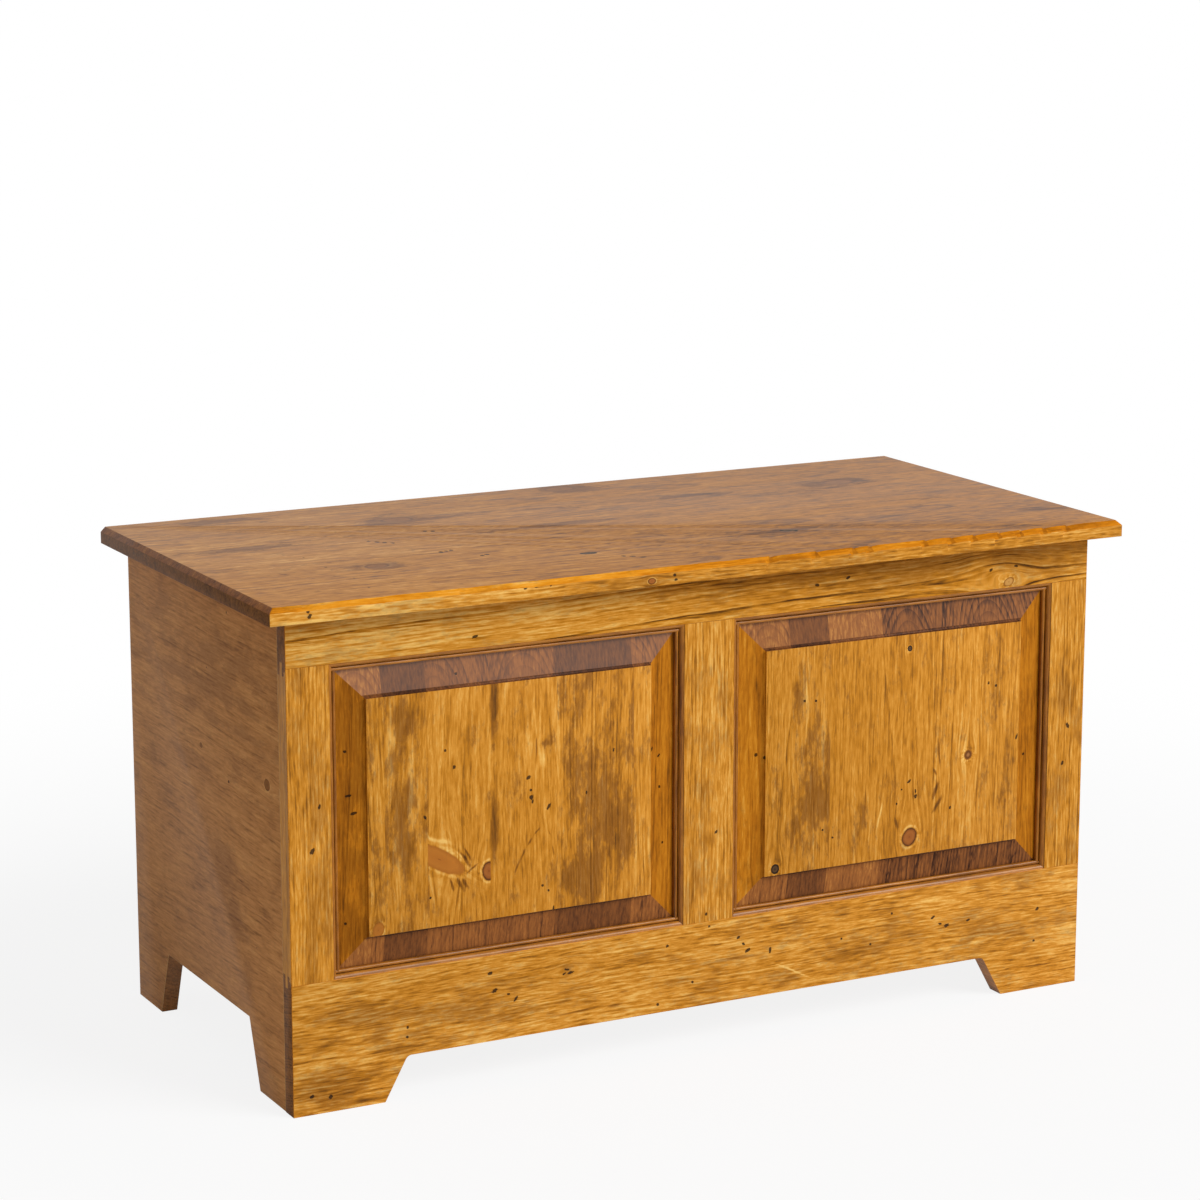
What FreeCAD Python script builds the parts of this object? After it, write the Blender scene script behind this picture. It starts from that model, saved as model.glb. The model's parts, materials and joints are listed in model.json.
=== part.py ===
import FreeCAD, Part
import math
import os

Vector = FreeCAD.Vector

# A lift-lid blanket chest with a raised-panel front. Lengths are in millimetres and angles in degrees.
# X runs to the viewer's right, Y to the back and Z up. The origin is under the middle of the lid, on the floor.

# Carcass
BODY_WIDTH = 1011.0
BODY_DEPTH = 471.0
BODY_HEIGHT = 545.0
SIDE_THICKNESS = 19.0
BACK_THICKNESS = 19.0
BACK_LAP = 11.0

# Foot cut-outs: each foot's width on the floor and at the top of its cut
FRONT_FOOT_TOE = 107.0
FRONT_FOOT_TOP = 134.0
FRONT_CUT_HEIGHT = 49.0
FRONT_CUT_RADIUS = 8.0
SIDE_FOOT_TOE = 73.0
SIDE_FOOT_TOP = 101.0
SIDE_CUT_HEIGHT = 77.0

# Front frame: face widths up to the moulded edge, then the moulding and the panel groove behind it
FRAME_THICKNESS = 22.0
TOP_RAIL_FACE = 53.0
BOTTOM_RAIL_FACE = 147.0
STILE_FACE = 49.0
CENTRE_STILE_FACE = 63.0
MOULDING_STEP = 0.8
OVOLO_RADIUS = 4.4
BEAD_GAP = 0.6
BEAD_DROP = 1.3
BEAD_RADIUS = 2.0
BEAD_LIP = 3.5
GROOVE_WIDTH = 6.0
GROOVE_DEPTH = 14.0

# Raised panels
FIELD_MARGIN = 41.5
FIELD_STEP_WIDTH = 3.0
FIELD_STEP_DEPTH = 4.5
TONGUE_CLEARANCE = 0.1
PANEL_MOVEMENT = 2.0

# Bottom and the cleats that carry it
BOTTOM_THICKNESS = 12.0
BOTTOM_PLAY = 0.5
CLEAT_SIZE = 19.0
CLEAT_LIFT = 2.0
CLEAT_SCREW_LENGTH = 31.0

# Lid
LID_THICKNESS = 19.0
LID_END_OVERHANG = 28.0
LID_FRONT_OVERHANG = 28.0
LID_BACK_OVERHANG = 11.0
LID_CHAMFER = 5.6
BATTEN_WIDTH = 45.0
BATTEN_THICKNESS = 19.0
BATTEN_CHAMFER = 5.0
BATTEN_SPACING = 500.0
BATTEN_FRONT_ROOM = 25.0
BATTEN_BACK_ROOM = 25.0
BATTEN_SCREW_LENGTH = 31.0

# Butt hinges
HINGE_LENGTH = 76.0
HINGE_INSET = 170.0
LEAF_THICKNESS = 2.0
LEAF_REACH = 16.0
LEAF_GAP = 0.3
KNUCKLE_COUNT = 3
KNUCKLE_RADIUS = 3.5
KNUCKLE_GAP = 0.4
BARREL_STANDOFF = 0.5
BARREL_ROOM = 0.5
PIN_RADIUS = 1.75
PIN_CLEARANCE = 0.05
MORTISE_FIT = 0.1
HINGE_SCREW_LENGTH = 14.0

# Sliding lid stays. The pivot on the lid and the stud on the side are equally far from the hinge pin,
# so the arm turns on the lid by exactly half of the lid's own angle.
LID_OPEN_ANGLE = 95.0
STAY_RADIUS = 160.0
STAY_PIVOT_DROP = 14.0
STAY_REST_ANGLE = 30.0
STAY_WIDTH = 12.0
STAY_THICKNESS = 2.5
STAY_GAP = 0.3
STAY_PIN_RADIUS = 2.5
STAY_PIN_CLEARANCE = 0.1
STAY_SLOT_CLEARANCE = 0.3
STAY_SLOT_END = 0.5
STAY_TAIL = 4.5
STAY_HEAD_RADIUS = 4.5
STAY_HEAD_LENGTH = 1.4
STAY_PLATE_THICKNESS = 2.0
STAY_PLATE_WIDTH = 16.0
STAY_PLATE_LENGTH = 46.0
STAY_PLATE_CORNER = 4.0
STAY_FLANGE_WIDTH = 18.0
STAY_FLANGE_LENGTH = 44.0
STAY_SCREW_LENGTH = 12.0

# Screws: the large ones hold boards, the small ones hold the hinges and stays
BACK_SCREW_LENGTH = 38.0
LARGE_HEAD_RADIUS = 3.8
LARGE_SHANK_RADIUS = 2.0
SMALL_HEAD_RADIUS = 3.0
SMALL_SHANK_RADIUS = 1.5
SCREW_SLOT_WIDTH = 0.9
SCREW_SLOT_DEPTH = 0.7
SCREW_CLEARANCE = 0.05
SCREW_SIDES = 8

# Places of the screws, as shares of the piece that they hold
LEAF_SCREW_SHARES = (0.14, 0.5, 0.86)
PLATE_SCREW_SHARES = (0.14, 0.86)
BATTEN_SCREW_SHARES = (0.12, 0.5, 0.88)
SIDE_CLEAT_SCREW_SHARES = (0.2, 0.8)
LONG_CLEAT_SCREW_SHARES = (0.08, 0.5, 0.92)
BACK_SCREW_SHARES = (0.1, 0.5, 0.9)

OVERRUN = 5.0
ARC_MIDDLE_SHARE = math.sqrt(0.5)

# Planes that the pieces share
LID_DEPTH = LID_FRONT_OVERHANG + BODY_DEPTH + LID_BACK_OVERHANG
LID_FRONT = -LID_DEPTH / 2
LID_BACK = LID_DEPTH / 2
LID_END = BODY_WIDTH / 2 + LID_END_OVERHANG
LID_TOP = BODY_HEIGHT + LID_THICKNESS
FRONT = LID_FRONT + LID_FRONT_OVERHANG
BACK = FRONT + BODY_DEPTH
FRAME_BACK = FRONT + FRAME_THICKNESS
BACK_INSIDE = BACK - BACK_THICKNESS
BODY_END = BODY_WIDTH / 2
SIDE_INSIDE = BODY_END - SIDE_THICKNESS
OPENING_TOP = BODY_HEIGHT - TOP_RAIL_FACE
CLEAT_BOTTOM = SIDE_CUT_HEIGHT + CLEAT_LIFT
CLEAT_TOP = CLEAT_BOTTOM + CLEAT_SIZE
CLEAT_MIDDLE = CLEAT_BOTTOM + CLEAT_SIZE / 2

# The frame's moulding and groove, measured from the face edge into the opening and down from the face
OVOLO_DEPTH = MOULDING_STEP + OVOLO_RADIUS
BEAD_DEPTH = OVOLO_DEPTH + BEAD_DROP
BEAD_START = OVOLO_RADIUS + BEAD_GAP
MOULDING_WIDTH = BEAD_START + 2 * BEAD_RADIUS
GROOVE_FRONT = BEAD_DEPTH + BEAD_LIP
GROOVE_BACK = GROOVE_FRONT + GROOVE_WIDTH
GROOVE_HOLD = GROOVE_DEPTH - MOULDING_WIDTH

# Hinge line, and the stays' places in the plane across it
HINGE_Y = BACK + BARREL_STANDOFF + KNUCKLE_RADIUS
HINGE_X = BODY_END - HINGE_INSET
LEAF_EDGE = HINGE_Y - KNUCKLE_RADIUS - LEAF_GAP
PIVOT_ANGLE = math.asin(STAY_PIVOT_DROP / STAY_RADIUS)
STUD_ANGLE = PIVOT_ANGLE + math.radians(STAY_REST_ANGLE)
OPEN_ANGLE = math.radians(STAY_REST_ANGLE + LID_OPEN_ANGLE)
STAY_CLOSED_SPAN = 2 * STAY_RADIUS * math.sin(math.radians(STAY_REST_ANGLE) / 2)
STAY_OPEN_SPAN = 2 * STAY_RADIUS * math.sin(OPEN_ANGLE / 2)
PIVOT_Y = HINGE_Y - STAY_RADIUS * math.cos(PIVOT_ANGLE)
PIVOT_Z = BODY_HEIGHT - STAY_PIVOT_DROP
STUD_Y = HINGE_Y - STAY_RADIUS * math.cos(STUD_ANGLE)
STUD_Z = BODY_HEIGHT - STAY_RADIUS * math.sin(STUD_ANGLE)

# The left stay's layers, from the side board inwards
PLATE_FACE = -SIDE_INSIDE + STAY_PLATE_THICKNESS
ARM_OUTSIDE = PLATE_FACE + STAY_GAP
ARM_INSIDE = ARM_OUTSIDE + STAY_THICKNESS
TAB_OUTSIDE = ARM_INSIDE + STAY_GAP
TAB_INSIDE = TAB_OUTSIDE + STAY_PLATE_THICKNESS

LARGE_SCREW = (LARGE_HEAD_RADIUS, LARGE_SHANK_RADIUS)
SMALL_SCREW = (SMALL_HEAD_RADIUS, SMALL_SHANK_RADIUS)
LEFTWARD = Vector(-1, 0, 0)
FORWARD = Vector(0, -1, 0)
BACKWARD = Vector(0, 1, 0)
UPWARD = Vector(0, 0, 1)
DOWNWARD = Vector(0, 0, -1)


def block(x, y, z):
    """A box between the two ends given along each axis."""
    low = Vector(x[0], y[0], z[0])
    return Part.makeBox(x[1] - x[0], y[1] - y[0], z[1] - z[0], low)


def outline(place, start, *steps):
    """A flat face. Each step is an end point, or the middle and the end point of an arc."""
    edges = []
    here = start
    closing = () if steps[-1][-1] == start else ((start,),)
    for step in steps + closing:
        end = step[-1]
        if len(step) == 2:
            edges.append(Part.Arc(place(*here), place(*step[0]), place(*end)).toShape())
        else:
            edges.append(Part.LineSegment(place(*here), place(*end)).toShape())
        here = end
    return Part.Face(Part.Wire(edges))


def mirrored(shape):
    """The same piece at the other end of the chest."""
    return shape.mirror(Vector(0, 0, 0), Vector(1, 0, 0))


def both_ends(shapes):
    """One group of the given solids and their mirror images."""
    return Part.makeCompound(list(shapes) + [mirrored(shape) for shape in shapes])


def along(low, high, shares):
    """Places between two ends."""
    return [low + (high - low) * share for share in shares]


def pointed(shape, seat, direction):
    """A shape made along +Z, moved to its seat and turned to its direction."""
    shape.Placement = FreeCAD.Placement(seat, FreeCAD.Rotation(UPWARD, direction))
    return shape


def ring(radius, height):
    """The corners of a many-sided ring around the Z axis."""
    turns = [math.tau * side / SCREW_SIDES for side in range(SCREW_SIDES)]
    return [Vector(radius * math.cos(turn), radius * math.sin(turn), height) for turn in turns]


def flat(corners):
    return Part.Face(Part.makePolygon(corners + corners[:1]))


def countersunk(size, length, grow, rise):
    """A countersunk screw along +Z, or the hole for one, which is grown all round and rises past the head."""
    head, shank = (radius + grow for radius in size)
    rings = [ring(head, 0), ring(shank, head - shank), ring(shank, length + grow)]
    if rise:
        rings.insert(0, ring(head, -rise))
    faces = [flat(rings[0]), flat(rings[-1])]
    for lower, upper in zip(rings, rings[1:]):
        for side in range(SCREW_SIDES):
            faces.append(flat([lower[side - 1], lower[side], upper[side], upper[side - 1]]))
    solid = Part.Solid(Part.Shell(faces))
    if solid.Volume < 0:
        solid.reverse()
    return solid


def screw(size, length, seat, direction):
    slot = block(
        (-size[0], size[0]),
        (-SCREW_SLOT_WIDTH / 2, SCREW_SLOT_WIDTH / 2),
        (0, SCREW_SLOT_DEPTH),
    )
    return pointed(countersunk(size, length, 0, 0).cut(slot), seat, direction)


def screw_hole(size, length, seat, direction):
    return pointed(countersunk(size, length, SCREW_CLEARANCE, OVERRUN), seat, direction)


def screws_and_holes(size, length, seats, direction):
    screws = [screw(size, length, seat, direction) for seat in seats]
    holes = [screw_hole(size, length, seat, direction) for seat in seats]
    return screws, holes


def frame_section(face, place):
    """A rail's or stile's section: an ovolo and a bead on the inner edge, with the panel groove behind."""
    ovolo_middle = OVOLO_RADIUS * ARC_MIDDLE_SHARE
    return outline(
        place,
        (-face, 0),
        ((0, 0),),
        ((0, MOULDING_STEP),),
        ((ovolo_middle, OVOLO_DEPTH - ovolo_middle), (OVOLO_RADIUS, OVOLO_DEPTH)),
        ((OVOLO_RADIUS, BEAD_DEPTH),),
        ((BEAD_START, BEAD_DEPTH),),
        ((BEAD_START + BEAD_RADIUS, BEAD_DEPTH - BEAD_RADIUS), (MOULDING_WIDTH, BEAD_DEPTH)),
        ((MOULDING_WIDTH, GROOVE_FRONT),),
        ((-GROOVE_HOLD, GROOVE_FRONT),),
        ((-GROOVE_HOLD, GROOVE_BACK),),
        ((MOULDING_WIDTH, GROOVE_BACK),),
        ((MOULDING_WIDTH, FRAME_THICKNESS),),
        ((-face, FRAME_THICKNESS),),
    )


def top_rail():
    def place(across, depth):
        return Vector(-BODY_END, FRONT + depth, OPENING_TOP - across)

    return frame_section(TOP_RAIL_FACE, place).extrude(Vector(BODY_WIDTH, 0, 0))


def front_foot_cut():
    """The cut between the front feet, with rounded upper corners."""
    toe = BODY_END - FRONT_FOOT_TOE
    top = BODY_END - FRONT_FOOT_TOP

    def place(x, z):
        return Vector(x, FRONT - OVERRUN, z)

    face = outline(
        place,
        (-toe, -OVERRUN),
        ((toe, -OVERRUN),),
        ((toe, 0),),
        ((top, FRONT_CUT_HEIGHT),),
        ((-top, FRONT_CUT_HEIGHT),),
        ((-toe, 0),),
    )
    cut = face.extrude(Vector(0, FRAME_THICKNESS + 2 * OVERRUN, 0))
    lines = [edge for edge in cut.Edges if edge.BoundBox.XLength < edge.BoundBox.YLength]
    corners = [edge for edge in lines if edge.CenterOfMass.z > FRONT_CUT_HEIGHT / 2]
    return cut.makeFillet(FRONT_CUT_RADIUS, corners)


def bottom_rail(holes):
    def place(across, depth):
        return Vector(-BODY_END, FRONT + depth, BOTTOM_RAIL_FACE + across)

    rail = frame_section(BOTTOM_RAIL_FACE, place).extrude(Vector(BODY_WIDTH, 0, 0))
    return rail.cut([front_foot_cut()] + holes)


def stile_blank(face, edge):
    """A stile from groove floor to groove floor, with its moulded edge towards +X at the given place."""
    low = BOTTOM_RAIL_FACE - GROOVE_HOLD
    high = OPENING_TOP + GROOVE_HOLD

    def place(across, depth):
        return Vector(edge + across, FRONT + depth, low)

    return frame_section(face, place).extrude(Vector(0, 0, high - low))


def coped(blank, rails):
    """A stile with ends shaped by the rails: shoulders over the moulding, and a stub tongue in the groove."""
    pieces = blank.cut(rails).Solids
    return max(pieces, key=lambda piece: piece.Volume)


def left_stile(rails):
    return coped(stile_blank(STILE_FACE, STILE_FACE - BODY_END), rails)


def centre_stile(rails):
    half = stile_blank(CENTRE_STILE_FACE / 2, CENTRE_STILE_FACE / 2)
    return coped(half.fuse(mirrored(half)).removeSplitter(), rails)


def panel_edge_cut(place, sweep):
    """What is shaped away along one edge of a panel, measured from the frame's face edge inwards."""
    outer = GROOVE_HOLD + OVERRUN
    foot = FIELD_MARGIN - FIELD_STEP_WIDTH
    cove = FIELD_STEP_WIDTH * ARC_MIDDLE_SHARE, FIELD_STEP_DEPTH * ARC_MIDDLE_SHARE
    tongue = GROOVE_FRONT + TONGUE_CLEARANCE
    face = outline(
        place,
        (-outer, -OVERRUN),
        ((FIELD_MARGIN, -OVERRUN),),
        ((FIELD_MARGIN, 0),),
        ((foot + cove[0], cove[1]), (foot, FIELD_STEP_DEPTH)),
        ((MOULDING_WIDTH + TONGUE_CLEARANCE, tongue),),
        ((-outer, tongue),),
    )
    return face.extrude(sweep)


def left_panel():
    """A raised panel: field flush with the frame, coved step, bevel, and a tongue loose in the groove."""
    left = STILE_FACE - BODY_END
    right = -CENTRE_STILE_FACE / 2
    bottom = BOTTOM_RAIL_FACE
    top = OPENING_TOP
    side_hold = GROOVE_HOLD - PANEL_MOVEMENT
    panel = block(
        (left - side_hold, right + side_hold),
        (FRONT, FRONT + GROOVE_BACK - TONGUE_CLEARANCE),
        (bottom - GROOVE_HOLD, top + side_hold),
    )
    start_x = left - GROOVE_HOLD - OVERRUN
    start_z = bottom - GROOVE_HOLD - OVERRUN
    sweep_x = Vector(right - left + 2 * (GROOVE_HOLD + OVERRUN), 0, 0)
    sweep_z = Vector(0, 0, top - bottom + 2 * (GROOVE_HOLD + OVERRUN))
    cuts = [
        panel_edge_cut(lambda inward, depth: Vector(left + inward, FRONT + depth, start_z), sweep_z),
        panel_edge_cut(lambda inward, depth: Vector(right - inward, FRONT + depth, start_z), sweep_z),
        panel_edge_cut(lambda inward, depth: Vector(start_x, FRONT + depth, bottom + inward), sweep_x),
        panel_edge_cut(lambda inward, depth: Vector(start_x, FRONT + depth, top - inward), sweep_x),
    ]
    return panel.cut(cuts)


def left_side(holes):
    """A side board with its feet, and a stopped rabbet for the back."""
    def place(y, z):
        return Vector(-BODY_END, y, z)

    board = outline(
        place,
        (FRAME_BACK, 0),
        ((FRAME_BACK + SIDE_FOOT_TOE, 0),),
        ((FRAME_BACK + SIDE_FOOT_TOP, SIDE_CUT_HEIGHT),),
        ((BACK - SIDE_FOOT_TOP, SIDE_CUT_HEIGHT),),
        ((BACK - SIDE_FOOT_TOE, 0),),
        ((BACK, 0),),
        ((BACK, BODY_HEIGHT),),
        ((FRAME_BACK, BODY_HEIGHT),),
    ).extrude(Vector(SIDE_THICKNESS, 0, 0))
    rabbet = block(
        (-SIDE_INSIDE - BACK_LAP, -SIDE_INSIDE + OVERRUN),
        (BACK_INSIDE, BACK + OVERRUN),
        (CLEAT_BOTTOM, BODY_HEIGHT + OVERRUN),
    )
    return board.cut([rabbet] + holes)


def back_panel(holes):
    reach = SIDE_INSIDE + BACK_LAP
    board = block((-reach, reach), (BACK_INSIDE, BACK), (CLEAT_BOTTOM, BODY_HEIGHT))
    return board.cut(holes)


def bottom_panel():
    reach = SIDE_INSIDE - BOTTOM_PLAY
    return block(
        (-reach, reach),
        (FRAME_BACK + BOTTOM_PLAY, BACK_INSIDE - BOTTOM_PLAY),
        (CLEAT_TOP, CLEAT_TOP + BOTTOM_THICKNESS),
    )


def left_cleat(holes):
    cleat = block((-SIDE_INSIDE, CLEAT_SIZE - SIDE_INSIDE), (FRAME_BACK, BACK_INSIDE), (CLEAT_BOTTOM, CLEAT_TOP))
    return cleat.cut(holes)


def long_cleat(y, holes):
    """A cleat between the two side cleats, on the front rail or on the back."""
    reach = SIDE_INSIDE - CLEAT_SIZE
    return block((-reach, reach), y, (CLEAT_BOTTOM, CLEAT_TOP)).cut(holes)


def lid_board(holes):
    board = block((-LID_END, LID_END), (LID_FRONT, LID_BACK), (BODY_HEIGHT, LID_TOP))
    upper = [edge for edge in board.Edges if edge.BoundBox.ZMin > BODY_HEIGHT + LID_THICKNESS / 2]
    shown = [edge for edge in upper if edge.CenterOfMass.y < BACK]
    return board.makeChamfer(LID_CHAMFER, shown).cut(holes)


def left_batten(holes):
    middle = -BATTEN_SPACING / 2
    batten = block(
        (middle - BATTEN_WIDTH / 2, middle + BATTEN_WIDTH / 2),
        (FRAME_BACK + BATTEN_FRONT_ROOM, BACK_INSIDE - BATTEN_BACK_ROOM),
        (BODY_HEIGHT - BATTEN_THICKNESS, BODY_HEIGHT),
    )
    lower = [edge for edge in batten.Edges if edge.BoundBox.ZMax < BODY_HEIGHT - BATTEN_THICKNESS / 2]
    return batten.makeChamfer(BATTEN_CHAMFER, lower).cut(holes)


def hinge_line(radius, low, high):
    """A cylinder on the left hinge's pin line, between two places from the hinge's middle."""
    start = Vector(low - HINGE_X, HINGE_Y, BODY_HEIGHT)
    return Part.makeCylinder(radius, high - low, start, Vector(1, 0, 0))


def hinge_leaf(z, first_knuckle, holes):
    """A leaf between two heights, with every second knuckle of the barrel."""
    half = HINGE_LENGTH / 2
    pitch = HINGE_LENGTH / KNUCKLE_COUNT
    leaf = block((-HINGE_X - half, -HINGE_X + half), (BACK - LEAF_REACH, LEAF_EDGE), z)
    knuckles = []
    for index in range(first_knuckle, KNUCKLE_COUNT, 2):
        low = index * pitch - half + KNUCKLE_GAP / 2
        high = low + pitch - KNUCKLE_GAP
        knuckles.append(hinge_line(KNUCKLE_RADIUS, low, high))
        knuckles.append(block((low - HINGE_X, high - HINGE_X), (BACK - LEAF_REACH, HINGE_Y), z))
    bore = hinge_line(PIN_RADIUS + PIN_CLEARANCE, -HINGE_LENGTH, HINGE_LENGTH)
    return leaf.fuse(knuckles).removeSplitter().cut([bore] + holes)


def hinge_pin():
    half = HINGE_LENGTH / 2
    return hinge_line(PIN_RADIUS, -half, half)


def leaf_mortise(z):
    half = HINGE_LENGTH / 2 + MORTISE_FIT
    return block((-HINGE_X - half, -HINGE_X + half), (BACK - LEAF_REACH - MORTISE_FIT, BACK + OVERRUN), z)


def barrel_pocket():
    """Room in the lid's overhang for the upper half of the barrel."""
    half = HINGE_LENGTH / 2 + BARREL_ROOM
    room = KNUCKLE_RADIUS + BARREL_ROOM
    return block(
        (-HINGE_X - half, -HINGE_X + half),
        (HINGE_Y - room, LID_BACK + OVERRUN),
        (BODY_HEIGHT - OVERRUN, BODY_HEIGHT + room),
    )


def stay_place(x):
    """Places in the stay's own plane, along its arm from the pivot and across it."""
    way_y = (STUD_Y - PIVOT_Y) / STAY_CLOSED_SPAN
    way_z = (STUD_Z - PIVOT_Z) / STAY_CLOSED_SPAN

    def place(far, across):
        return Vector(x, PIVOT_Y + far * way_y - across * way_z, PIVOT_Z + far * way_z + across * way_y)

    return place


def rounded_bar(place, low, high, radius):
    """A bar's outline with half-round ends, from one end's centre to the other's."""
    return outline(
        place,
        (low, -radius),
        ((high, -radius),),
        ((high + radius, 0), (high, radius)),
        ((low, radius),),
        ((low - radius, 0), (low, -radius)),
    )


def across_pin(radius, y, z, low, high):
    """A pin along X."""
    return Part.makeCylinder(radius, high - low, Vector(low, y, z), Vector(1, 0, 0))


def stay_arm():
    place = stay_place(ARM_OUTSIDE)
    through = Vector(STAY_THICKNESS, 0, 0)
    slot_radius = STAY_PIN_RADIUS + STAY_SLOT_CLEARANCE
    slot_low = STAY_CLOSED_SPAN - STAY_SLOT_END
    slot_high = STAY_OPEN_SPAN + STAY_SLOT_END
    bar = rounded_bar(place, 0, slot_high + STAY_TAIL, STAY_WIDTH / 2).extrude(through)
    slot = rounded_bar(place, slot_low, slot_high, slot_radius).extrude(through)
    hole = across_pin(STAY_PIN_RADIUS + STAY_PIN_CLEARANCE, PIVOT_Y, PIVOT_Z, ARM_OUTSIDE, ARM_INSIDE)
    return bar.cut([slot, hole])


def stay_side_plate(holes):
    """A plate with its corners cut off, on the side board."""
    half = STAY_PLATE_WIDTH / 2
    reach = STAY_PLATE_LENGTH / 2
    plate = block(
        (-SIDE_INSIDE, PLATE_FACE),
        (STUD_Y - half, STUD_Y + half),
        (STUD_Z - reach, STUD_Z + reach),
    )
    corners = [edge for edge in plate.Edges if edge.Length < STAY_PLATE_THICKNESS + STAY_GAP]
    hole = across_pin(STAY_PIN_RADIUS + SCREW_CLEARANCE, STUD_Y, STUD_Z, -SIDE_INSIDE, PLATE_FACE)
    return plate.makeChamfer(STAY_PLATE_CORNER, corners).cut([hole] + holes)


def stay_stud():
    """The stud that the arm's slot runs on, with a head that keeps the arm on it."""
    shank = across_pin(STAY_PIN_RADIUS, STUD_Y, STUD_Z, -SIDE_INSIDE, TAB_OUTSIDE)
    head = across_pin(STAY_HEAD_RADIUS, STUD_Y, STUD_Z, TAB_OUTSIDE, TAB_OUTSIDE + STAY_HEAD_LENGTH)
    return shank.fuse(head).removeSplitter()


def stay_lid_bracket(holes):
    """An angle bracket: a flange under the lid and a rounded tab that holds the pivot."""
    half = STAY_FLANGE_LENGTH / 2
    flange = block(
        (TAB_OUTSIDE, TAB_OUTSIDE + STAY_FLANGE_WIDTH),
        (PIVOT_Y - half, PIVOT_Y + half),
        (BODY_HEIGHT - STAY_PLATE_THICKNESS, BODY_HEIGHT),
    )
    radius = STAY_PLATE_WIDTH / 2

    def place(y, z):
        return Vector(TAB_OUTSIDE, PIVOT_Y + y, z)

    tab = outline(
        place,
        (-radius, BODY_HEIGHT),
        ((-radius, PIVOT_Z),),
        ((0, PIVOT_Z - radius), (radius, PIVOT_Z)),
        ((radius, BODY_HEIGHT),),
    ).extrude(Vector(STAY_PLATE_THICKNESS, 0, 0))
    hole = across_pin(STAY_PIN_RADIUS + SCREW_CLEARANCE, PIVOT_Y, PIVOT_Z, TAB_OUTSIDE, TAB_INSIDE)
    return flange.fuse(tab).removeSplitter().cut([hole] + holes)


def stay_rivet():
    """The pivot of the arm, headed outside the arm and peened flush inside the tab."""
    shank = across_pin(STAY_PIN_RADIUS, PIVOT_Y, PIVOT_Z, PLATE_FACE, TAB_INSIDE)
    head = across_pin(STAY_HEAD_RADIUS, PIVOT_Y, PIVOT_Z, PLATE_FACE - STAY_HEAD_LENGTH, PLATE_FACE)
    return shank.fuse(head).removeSplitter()


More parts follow.
